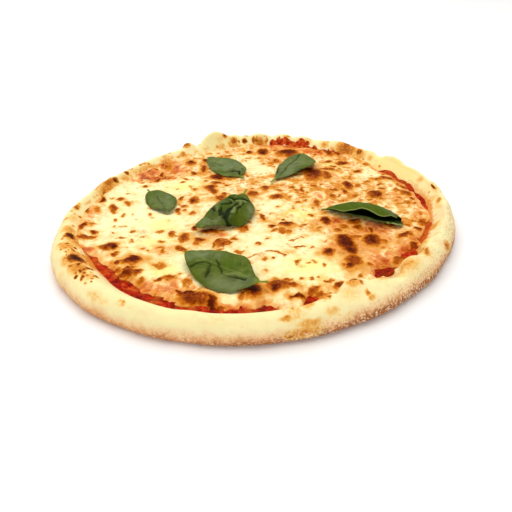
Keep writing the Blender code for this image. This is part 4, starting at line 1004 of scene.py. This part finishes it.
def bent_half(share, rise, curl, fold):
    """Sideways and upward reach of half a blade that bends as it goes."""
    out, up = 0.0 * share, 0.0 * share
    for piece in range(LEAF_BEND_PIECES):
        portion = share * (piece + 0.5) / LEAF_BEND_PIECES
        angle = rise + curl * (1.0 - (1.0 - portion) ** fold)
        out = out + np.cos(angle) * share / LEAF_BEND_PIECES
        up = up + np.sin(angle) * share / LEAF_BEND_PIECES
    return out, up


def blade_places(along, side, stem, tip, left, right, widest, bow, rise, curl, crumple, seed,
                 fold=LEAF_FOLD):
    """The blade before it is laid on the cheese: along runs from stem end to tip, side from the
    right edge to the left one. Its half width comes last."""
    along, side = np.broadcast_arrays(along, side)
    start, way = np.array(stem), np.array(tip) - np.array(stem)
    forward = way / np.hypot(*way)
    is_left = side > 0
    width = np.where(is_left, left, right) * blade_half_width(along, widest)
    width = np.maximum(width, LEAF_STEM_HALF)
    stiff = np.minimum(1.0, width / (LEAF_STIFF_BELOW if fold == LEAF_FOLD else LEAF_CRISP_BELOW))
    rise_here, curl_here = (np.radians(np.where(is_left, *halves)) * stiff for halves in (rise, curl))
    out, up = bent_half(abs(side), rise_here, curl_here, np.where(is_left, fold, LEAF_FOLD))
    aside = np.where(is_left, out, -out) * width + bow * np.sin(pi * along)
    x = start[0] + way[0] * along - forward[1] * aside
    y = start[1] + way[1] * along + forward[0] * aside
    wave = swell(x, y, 0.0, LEAF_WAVE_LENGTH, 20.0 + seed)
    wave = wave + LEAF_RUFFLE * abs(side) * np.sin(LEAF_RUFFLE_TURNS * along + 2.0 * seed)
    wave = crumple * (wave + LEAF_WAVE_RAISE)
    return x, y, up * width + wave * np.minimum(1.0, width / LEAF_WAVY_ABOVE), width


def cheese_under(x, y):
    """The highest cheese near each place."""
    reach, bearing = disc_grid(COARSE_CELLS)
    brink, edge = cheese_brink(bearing)
    px, py = reach * brink * np.cos(bearing), reach * brink * np.sin(bearing)
    pz = cheese_height(px, py, brink, edge)
    under = np.empty_like(x)
    for place in np.ndindex(x.shape):
        near = np.hypot(px - x[place], py - y[place]) < LEAF_REST_REACH
        under[place] = pz[near].max()
    return under


def spread_finely(coarse, rows, columns):
    """A coarse grid of heights drawn finer and rounded off."""
    old_rows, old_columns = (np.linspace(0, 1, count) for count in coarse.shape)
    new_rows, new_columns = np.linspace(0, 1, rows), np.linspace(0, 1, columns)
    wide = np.array([np.interp(new_columns, old_columns, row) for row in coarse])
    fine = np.array([np.interp(new_rows, old_rows, column) for column in wide.T]).T
    for _ in range(LEAF_REST_PASSES):
        padded = np.pad(fine, 1, mode="edge")
        fine = (padded[:-2, 1:-1] + padded[2:, 1:-1] + padded[1:-1, :-2] + padded[1:-1, 2:]) / 4
    return fine


def lay_blade(name, leaf):
    """The blade where it lies on the cheese, with its edges tucked: along, side, x, y, z and half
    width."""
    coarse_x, coarse_y, coarse_z, _ = blade_places(
        np.linspace(0, 1, COARSE_ALONG + 1)[:, None],
        np.linspace(-1, 1, COARSE_ACROSS + 1)[None, :], **leaf)
    under = cheese_under(coarse_x, coarse_y)
    ends = FOLDED_ENDS if name == FOLDED_LEAF else (0.0, 1.0)
    along = np.linspace(*ends, LEAF_ALONG + 1)[:, None]
    side = np.linspace(-1, 1, LEAF_ACROSS + 1)[None, :]
    x, y, z, width = blade_places(along, side, **leaf)
    rest = spread_finely(under, LEAF_ALONG + 1, LEAF_ACROSS + 1)
    z = z - min(0.0, coarse_z.min()) + rest + LEAF_GAP
    for middle_x, middle_y, reach, shift_x, shift_y, shift_z, half in LEAF_TUCKS.get(name, ()):
        pull = np.exp(-((x - middle_x) ** 2 + (y - middle_y) ** 2) / reach ** 2)
        pull = pull * (eased(0.2, 0.9, half * side) if half else 1.0)
        x, y, z = x + shift_x * pull, y + shift_y * pull, z + shift_z * pull
    return along, side, x, y, z, width


def make_leaf(name, leaf, material):
    along, side, x, y, z, width = lay_blade(name, leaf)

    # Veins: a midrib, and side veins that leave it toward the tip, sunk with the blade puffed between
    from_middle = abs(side) * width
    length = np.hypot(leaf["tip"][0] - leaf["stem"][0], leaf["tip"][1] - leaf["stem"][1])
    wander = VEIN_WANDER * swell(x, y, 0.0, 9.0, 91)
    step = (along * length - VEIN_SLANT * from_middle + wander) / VEIN_APART
    off_vein = abs((step + 0.5 * (side > 0)) % 1.0 - 0.5) * VEIN_APART
    blade = eased(1.5, 5.0, width)
    faint = 0.35 + 0.65 * eased(-0.3, 0.5, swell(x, y, 0.0, 12.0, 93))
    side_vein = np.exp(-(off_vein / VEIN_HALF) ** 2) * eased(1.0, 0.75, abs(side)) * blade * faint
    midrib = np.exp(-(from_middle / MIDRIB_HALF) ** 2)
    puff = LEAF_PUFF * eased(0.0, 3.0, off_vein) * eased(0.0, 3.5, from_middle)
    puff = puff * eased(1.0, 0.8, abs(side))
    fine = swells(0.0, x, y, 0.0, (0.30, 5.0, 92), (0.12, 2.0, 94))

    # Creases sunk between raised shoulders, with painted shade in them and on their shoulders, and
    # painted highlights along ridges
    bent_x = swells(x, x, y, 0.0, (1.3, 6.0, 98), (0.6, 2.6, 99))
    bent_y = swells(y, x, y, 0.0, (1.3, 6.0, 101), (0.6, 2.6, 102))
    wider = [(SHOULDER_WIDER * half, depth, points) for half, depth, points in LEAF_CREASES[name]]
    crease, shoulder, ridge = (
        line_field(bent_x, bent_y, lines)
        for lines in (LEAF_CREASES[name], wider, LEAF_RIDGE_HIGHLIGHTS.get(name, ())))
    crisp = CREASE_CRISP.get(name, OTHER_CREASES_CRISP)
    painted_shade = (0.75 - 0.5 * crisp) * crease + 0.6 * crisp * eased(0.22, 0.62, crease) + 0.33 * shoulder
    painted_shade = np.clip(painted_shade * (0.85 + 0.5 * swell(x, y, 0.0, 4.5, 97)), 0.0, 1.0)
    z = z + blade * (puff * faint + fine + SHOULDER_RAISED * shoulder - CREASE_SUNK * crease)
    z = z - MIDRIB_SUNK * midrib * blade
    vivid = ellipse_field(x, y, LEAF_VIVID) + 0.25 * eased(0.1, 0.6, swell(x, y, 0.0, 7.0, 95))
    # Grey sheen painted on in patches, less where the green is vivid
    greyed = ellipse_field(x, y, LEAF_PAINTED_SHEEN) * (0.7 + 0.5 * swell(x, y, 0.0, 5.0, 96))
    greyed = np.clip(greyed * (1.0 - vivid), 0.0, 1.0)
    fold_hollow_shade, lip, paler = 0.0 * z, ridge, 1.0
    # The folded leaf gets painted shade over the inner faces of its fold, and painted highlights along its
    # edges
    if name == FOLDED_LEAF:
        greyed = greyed * eased(0.3, 0.6, side)
        painted_shade, vivid = painted_shade * (side < -0.75), np.maximum(vivid, 0.9 * (1.0 - greyed))
        fold_hollow_shade, paler = eased(*FOLDED_SHADE_SIDES, side), 0.0
        lip = np.maximum(*(eased(*sides, side) for sides in FOLDED_HIGHLIGHT_SIDES)) * eased(0.0, 0.15, along)

    edge = np.minimum(eased(1.0, 0.86, abs(side)), 1.0)
    thick = (LEAF_EDGE_THICK + (LEAF_THICK - LEAF_EDGE_THICK) * edge)[..., None]
    lower = np.stack((x, y, z), axis=-1)
    normal = np.cross(np.gradient(lower, axis=0), np.gradient(lower, axis=1))
    normal /= np.maximum(1e-9, np.linalg.norm(normal, axis=-1, keepdims=True))
    upper = lower + normal * thick
    quads, ring = grid_faces(LEAF_ALONG + 1, LEAF_ACROSS + 1)
    wall = np.stack((ring, ring + z.size, np.roll(ring, -1) + z.size, np.roll(ring, -1)), axis=-1)
    faces = list(quads) + list(quads[:, ::-1] + z.size) + list(wall)
    places = np.concatenate((upper.reshape(-1, 3), lower.reshape(-1, 3)))

    def over(values, beneath=None):
        beneath = values if beneath is None else beneath
        return np.concatenate(((values + 0 * z).ravel(), (beneath + 0 * z).ravel()))

    stalk = eased(LEAF_STEM_SHARE + 0.06, LEAF_STEM_SHARE - 0.02, along)
    return make_piece(
        name + "_leaf", places, faces, material, side_vein=over(side_vein), midrib=over(midrib),
        stalk=over(stalk), crease=over(np.maximum(painted_shade, fold_hollow_shade), painted_shade), vivid=over(vivid),
        greyed=over(greyed), lip=over(lip), underside=over(0.0, paler))


# Materials

PLACE, FIELD, NOISE = "ShaderNodeTexCoord", "ShaderNodeAttribute", "ShaderNodeTexNoise"
MATH, RANGE, RAMP = "ShaderNodeMath", "ShaderNodeMapRange", "ShaderNodeValToRGB"
MIX, BUMP = "ShaderNodeMix", "ShaderNodeBump"
# A mix of colours: its inputs are 0, how much, 6, what lies under, and 7, what lies over it
OF_COLOURS = {"data_type": "RGBA", "out": 2}


def add_node(tree, kind, inputs=None, stops=(), out=0, **settings):
    """One node with its settings, the values or links of its inputs and the stops of its ramp. It
    gives back what comes out of it."""
    node = tree.nodes.new(kind)
    for name, value in settings.items():
        setattr(node, name, value)
    for name, value in (inputs or {}).items():
        if isinstance(value, bpy.types.NodeSocket):
            tree.links.new(value, node.inputs[name])
        else:
            node.inputs[name].default_value = value
    if stops:
        ramp = node.color_ramp.elements
        while len(ramp) < len(stops):
            ramp.new(0.5)
        for stop, (position, colour) in zip(ramp, stops):
            stop.position = position
            stop.color = linear(colour)
    return node.outputs[out]


def start_material(name, **values):
    """A new material whose shader has these plain values, its tree, and the place on the piece."""
    material = bpy.data.materials.new(name)
    material.use_nodes = True
    tree = material.node_tree
    for socket, value in values.items():
        tree.nodes["Principled BSDF"].inputs[socket.replace("_", " ")].default_value = value
    return material, tree, add_node(tree, PLACE, out="Object")


def finish_material(material, colour, relief=None):
    """Gives the shader its colour and, where it has one, its relief."""
    inputs = material.node_tree.nodes["Principled BSDF"].inputs
    material.node_tree.links.new(colour, inputs["Base Color"])
    if relief:
        material.node_tree.links.new(relief, inputs["Normal"])
    return material


def make_baked_dough():
    """Soft wheat flour dough, risen and baked fast in a hot oven: a dull dry skin, pale cream on
    top, golden to charred on its bubbles, and tan with a dusting of raw flour round its foot. The tan
    is partly painted shade, and the golden yellow of its back slopes partly painted warm light."""
    material, tree, place = start_material(
        "wheat dough, oven baked", Roughness=0.75, IOR=1.45, Metallic=0.0, Specular_IOR_Level=0.08)
    toast, side, floured, smeared, oily, golden = (
        add_node(tree, FIELD, out="Fac", attribute_name=field)
        for field in ("toast", "side", "floured", "smeared", "oily", "golden"))
    # Pores of the skin and grains of flour are under half a millimetre, too fine to show: they are
    # drawn as specks 1.6 mm apart and clumps of 1.5 mm. Patches are 14 mm and lumps of sauce 3 mm
    pores, patches, lumps, dust = (
        add_node(tree, NOISE, {
            "Vector": place, "Scale": 1 / (size * MM), "Detail": detail, "Roughness": rough})
        for size, detail, rough in ((1.6, 4.0, 0.65), (14, 5.0, 0.6), (3.0, 4.0, 0.6), (1.5, 3.0, 0.7)))
    grain, drift = (
        add_node(tree, MATH, {0: pattern, 1: -0.5}, operation="ADD") for pattern in (pores, patches))
    # Cream above turns peach and then tan toward the foot, partly as painted shade, and yellow where it
    # is golden, partly as painted warm light
    tone = add_node(tree, MATH, {0: drift, 1: 0.7, 2: side}, operation="MULTIPLY_ADD")
    body = add_node(tree, RAMP, {"Fac": tone}, (
        (0.00, "#F9EAAC"), (0.14, "#F8DFA6"), (0.38, "#F5CC92"), (0.70, "#E2A268"), (1.00, "#AC6634")))
    # Golden yellow on the back slopes, partly toasting and partly painted warm light where they lie in
    # shade
    gilt = add_node(tree, MATH, {0: golden, 1: 0.7}, operation="MULTIPLY")
    body = add_node(tree, MIX, {0: gilt, 6: body, 7: linear("#FAE684")}, **OF_COLOURS)
    strength = add_node(tree, MATH, {0: toast, 1: 1.1, 2: 0.06}, operation="MULTIPLY_ADD")
    shown = add_node(tree, MATH, {0: grain, 1: strength, 2: toast}, operation="MULTIPLY_ADD")
    crisp = add_node(tree, RAMP, {"Fac": shown}, (
        (0.10, "#FAE09C"), (0.24, "#F2BE68"), (0.36, "#DD9034"), (0.48, "#B4641C"), (0.64, "#80400E"),
        (0.82, "#542407"), (1.00, "#301004")))
    cover = add_node(tree, RANGE, {"Value": shown, "From Min": 0.05, "From Max": 0.26})
    colour = add_node(tree, MIX, {0: cover, 6: body, 7: crisp}, **OF_COLOURS)
    # Oil and sauce have soaked the foot of the slope amber
    soak = add_node(tree, MATH, {0: grain, 1: 0.9, 2: oily}, operation="MULTIPLY_ADD")
    soaked = add_node(tree, RANGE, {"Value": soak, "From Min": 0.15, "From Max": 0.85, "To Max": 0.9})
    colour = add_node(tree, MIX, {0: soaked, 6: colour, 7: linear("#E08A34")}, **OF_COLOURS)
    # Sauce smeared up the slope is red to nearly black pulp
    pulp = add_node(tree, RAMP, {"Fac": lumps}, (
        (0.32, "#7A1804"), (0.45, "#A82A06"), (0.56, "#C4460E"), (0.68, "#D87828")))
    smear = add_node(tree, MATH, {0: grain, 1: 1.2, 2: smeared}, operation="MULTIPLY_ADD")
    wet = add_node(tree, RANGE, {"Value": smear, "From Min": 0.30, "From Max": 0.50})
    colour = add_node(tree, MIX, {0: wet, 6: colour, 7: pulp}, **OF_COLOURS)
    # Raw flour lets browned specks show and clings in pale clumps
    for low, high, hue in ((0.50, 0.38, "#94603A"), (0.52, 0.62, "#FBEBC8")):
        bits = add_node(tree, RANGE, {"Value": dust, "From Min": low, "From Max": high})
        share = add_node(tree, MATH, {0: bits, 1: floured}, operation="MULTIPLY")
        colour = add_node(tree, MIX, {0: share, 6: colour, 7: linear(hue)}, **OF_COLOURS)
    return finish_material(material, colour, add_node(tree, BUMP, {
        "Height": pores, "Strength": 0.35, "Distance": 0.5 * MM}))


def make_melted_mozzarella():
    """Low-moisture mozzarella, shredded, melted and browned under strong top heat: opaque cream
    with a faint oily gloss, yellow where butterfat has pooled, pink to orange where sauce has
    soaked in, and blisters from golden to dark brown."""
    material, tree, place = start_material(
        "mozzarella, melted and browned", Roughness=0.38, IOR=1.45, Specular_IOR_Level=0.03)
    browned, warmth, stained, buttery = (
        add_node(tree, FIELD, out="Fac", attribute_name=field)
        for field in ("browned", "warmth", "stained", "buttery"))
    # Curds about 5 mm across, shreds of 3.2 mm, and browned specks, which are finer than the render
    # shows and drawn at 1.5 mm
    curds, specks = (
        add_node(tree, NOISE, {
            "Vector": place, "Scale": 1 / (size * MM), "Detail": detail, "Roughness": rough})
        for size, detail, rough in ((5.0, 5.0, 0.65), (1.5, 3.0, 0.6)))
    shreds = add_node(tree, NOISE, {
        "Vector": place, "Scale": 1 / (3.2 * MM), "Detail": 4.0, "Roughness": 0.6,
        "Distortion": 0.6}, noise_dimensions="4D")
    curd_shift, shred_shift, speck_shift = (
        add_node(tree, MATH, {0: pattern, 1: -0.5}, operation="ADD") for pattern in (curds, shreds, specks))
    warm = add_node(tree, MATH, {0: curd_shift, 1: 0.8, 2: warmth}, operation="MULTIPLY_ADD")
    colour = add_node(tree, RAMP, {"Fac": warm}, (
        (0.00, "#FAF4C2"), (0.22, "#F9E9AA"), (0.36, "#F5D592"), (0.52, "#ECB562"), (0.72, "#DA8A2C"),
        (1.00, "#BC6010")))
    fat = add_node(tree, MATH, {0: buttery, 1: 0.75}, operation="MULTIPLY")
    colour = add_node(tree, MIX, {0: fat, 6: colour, 7: linear("#FAF08E")}, **OF_COLOURS)
    # Sauce shows through pink to red
    pink = add_node(tree, MATH, {0: shred_shift, 1: 1.1, 2: stained}, operation="MULTIPLY_ADD")
    tomato = add_node(tree, RAMP, {"Fac": pink}, (
        (0.15, "#F8CC94"), (0.35, "#EEA45A"), (0.58, "#DA7430"), (0.80, "#BC480E"), (1.00, "#8E2404")))
    soaked = add_node(tree, RANGE, {"Value": pink, "From Min": 0.10, "From Max": 0.45, "To Max": 0.9})
    colour = add_node(tree, MIX, {0: soaked, 6: colour, 7: tomato}, **OF_COLOURS)
    # Thin amber lines where curds have met
    seam = add_node(tree, MATH, {0: curd_shift}, operation="ABSOLUTE")
    seam = add_node(tree, RANGE, {"Value": seam, "From Min": 0.022, "From Max": 0.0, "To Max": 0.5})
    seam = add_node(tree, MATH, {0: seam, 1: warmth}, operation="MULTIPLY")
    colour = add_node(tree, MIX, {0: seam, 6: colour, 7: linear("#B8682A")}, **OF_COLOURS)
    # Browned skin, broken up by shreds and specks
    fleck = add_node(tree, MATH, {0: speck_shift, 1: 0.8, 2: shred_shift}, operation="MULTIPLY_ADD")
    speckle = add_node(tree, MATH, {0: browned, 1: 1.3, 2: 0.08}, operation="MULTIPLY_ADD")
    brown = add_node(tree, MATH, {0: fleck, 1: speckle, 2: browned}, operation="MULTIPLY_ADD")
    scorch = add_node(tree, RAMP, {"Fac": brown}, (
        (0.08, "#F4BE6C"), (0.20, "#E09634"), (0.33, "#C87218"), (0.47, "#AA540C"), (0.62, "#8C3A04"),
        (0.80, "#6C2400"), (1.00, "#501600")))
    cover = add_node(tree, RANGE, {"Value": brown, "From Min": 0.05, "From Max": 0.28})
    colour = add_node(tree, MIX, {0: cover, 6: colour, 7: scorch}, **OF_COLOURS)
    return finish_material(material, colour, add_node(tree, BUMP, {
        "Height": curds, "Strength": 0.5, "Distance": 1.2 * MM}))


def make_cooked_sauce():
    """Crushed tomato, reduced in the oven: wet red pulp that shines, with orange oil at its edge
    and dark dried lumps, and painted shade where it lies in the wedges between cheese and rim."""
    material, tree, place = start_material(
        "crushed tomato sauce, baked", Roughness=0.30, IOR=1.38, Specular_IOR_Level=0.05)
    # Lumps of pulp about 3 mm across
    pulp = add_node(tree, NOISE, {
        "Vector": place, "Scale": 1 / (3.0 * MM), "Detail": 4.0, "Roughness": 0.6})
    colour = add_node(tree, RAMP, {"Fac": pulp}, (
        (0.32, "#640600"), (0.45, "#981200"), (0.56, "#B82804"), (0.68, "#D25410")))
    # Orange oil, then the dark of dried pulp and of painted shade in the wedges by the rim
    for field, hue in (("orange", "#D06A22"), ("charred", "#5E1005")):
        share = add_node(tree, FIELD, out="Fac", attribute_name=field)
        colour = add_node(tree, MIX, {0: share, 6: colour, 7: linear(hue)}, **OF_COLOURS)
    return finish_material(material, colour, add_node(tree, BUMP, {
        "Height": pulp, "Strength": 0.35, "Distance": 0.6 * MM}))


def make_basil_leaf():
    """Fresh sweet basil, wilted a little by the heat: deep green with a waxy satin sheen, paler
    along its veins and yellow green at its stalk, dull and lighter underneath. Grey sheen is
    painted on in patches, shade in its creases and the hollow of its fold, and highlights along its
    ridges and lit edges."""
    material, tree, place = start_material(
        "fresh basil leaf", Roughness=0.42, IOR=1.45, Specular_IOR_Level=0.06)
    # Darker and lighter patches about 9 mm across
    patches = add_node(tree, NOISE, {
        "Vector": place, "Scale": 1 / (9 * MM), "Detail": 5.0, "Roughness": 0.65})
    colour = add_node(tree, RAMP, {"Fac": patches}, (
        (0.30, "#3A490E"), (0.50, "#536118"), (0.70, "#67742A")))
    # What lies over the green, each layer over the last: field, share, colour. The grey layer is
    # painted sheen, the near black one painted shade in creases and hollows, and the palest one
    # painted highlight on ridges and edges
    for field, share, hue in (
            ("vivid", 0.95, "#485C00"), ("greyed", 0.85, "#7C8660"), ("side_vein", 0.30, "#74843A"),
            ("midrib", 0.50, "#7C8C40"), ("stalk", 1.00, "#7E8A2A"), ("underside", 0.60, "#66783A"),
            ("crease", 0.95, "#101C04"), ("lip", 0.60, "#98A45C")):
        here = add_node(tree, FIELD, out="Fac", attribute_name=field)
        layer = add_node(tree, MATH, {0: here, 1: share}, operation="MULTIPLY")
        colour = add_node(tree, MIX, {0: layer, 6: colour, 7: linear(hue)}, **OF_COLOURS)
    return finish_material(material, colour)


# Studio

TABLE_HALF = 3                      # metres
ROOM_LIGHT = 0.42
# Soft lights: name, width, depth, watts, place, turn in degrees
SOFT_LIGHTS = (
    ("overhead_light", 2.2, 1.9, 25.2, (-0.15, 0.45, 1.35), (-16.0, -6.0, 0.0)),
    ("front_light", 2.0, 0.9, 7.0, (0.1, -1.5, 0.75), (64.0, 0.0, 0.0)),
)


def place_in_scene(name, data):
    holder = bpy.data.objects.new(name, data)
    bpy.context.scene.collection.objects.link(holder)
    return holder


def set_studio():
    """A white table, a white room, a wide soft light above and behind and a weak one in front."""
    mesh = bpy.data.meshes.new("table_top")
    corners = [(TABLE_HALF * x, TABLE_HALF * y, 0) for x, y in ((-1, -1), (1, -1), (1, 1), (-1, 1))]
    mesh.from_pydata(corners, [], [(0, 1, 2, 3)])
    floor = place_in_scene("table_top", mesh)
    material, tree, place = start_material("white table, matt paint", Roughness=0.9)
    # Brushed paint, a little cloudy over 250 mm
    cloud = add_node(tree, NOISE, {"Vector": place, "Scale": 1 / (250 * MM)})
    white = add_node(tree, RAMP, {"Fac": cloud}, ((0.0, "#F8F7F5"), (1.0, "#FAF9F7")))
    mesh.materials.append(finish_material(material, white))
    world = bpy.data.worlds.new("white room")
    world.use_nodes = True
    background = world.node_tree.nodes["Background"].inputs
    background["Color"].default_value = (1.0, 1.0, 1.0, 1.0)
    background["Strength"].default_value = ROOM_LIGHT
    bpy.context.scene.world = world
    for name, width, depth, power, place, turn in SOFT_LIGHTS:
        light = bpy.data.lights.new(name, "AREA")
        light.shape = "RECTANGLE"
        light.size = width
        light.size_y = depth
        light.energy = power
        holder = place_in_scene(name, light)
        holder.location = place
        holder.rotation_euler = [radians(degrees) for degrees in turn]
    bpy.context.scene.view_settings.view_transform = "Standard"


# The camera: its place in metres, its aim, and its lens and sensor in millimetres
CAMERA_PLACE = (-0.00394, -0.39698, 0.22124)
CAMERA_DOWN, CAMERA_TURN, CAMERA_ROLL = radians(32.269), radians(-0.230), radians(-0.828)
LENS, SENSOR, NEAREST_SEEN = 42.19, 36.0, 0.01


def set_camera():
    lens = bpy.data.cameras.new("camera")
    lens.lens = LENS
    lens.sensor_width = SENSOR
    lens.clip_start = NEAREST_SEEN
    camera = place_in_scene("camera", lens)
    aim = Matrix.Rotation(CAMERA_TURN, 4, "Z") @ Matrix.Rotation(pi / 2 - CAMERA_DOWN, 4, "X")
    camera.matrix_world = Matrix.Translation(CAMERA_PLACE) @ aim @ Matrix.Rotation(CAMERA_ROLL, 4, "Z")
    bpy.context.scene.camera = camera


def main():
    baked_dough = make_baked_dough()
    cooked_sauce = make_cooked_sauce()
    melted_mozzarella = make_melted_mozzarella()
    basil_leaf = make_basil_leaf()

    crust = make_crust(baked_dough)
    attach(crust, "root")
    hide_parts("crust")
    sauce = make_sauce(cooked_sauce)
    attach(sauce, "root")
    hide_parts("sauce")
    cheese = make_cheese(melted_mozzarella)
    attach(cheese, "root")
    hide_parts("cheese")
    for name, leaf in LEAVES.items():
        piece = make_leaf(name, leaf, basil_leaf)
        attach(piece, "root")
        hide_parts(name)
    set_studio()
    set_camera()


main()
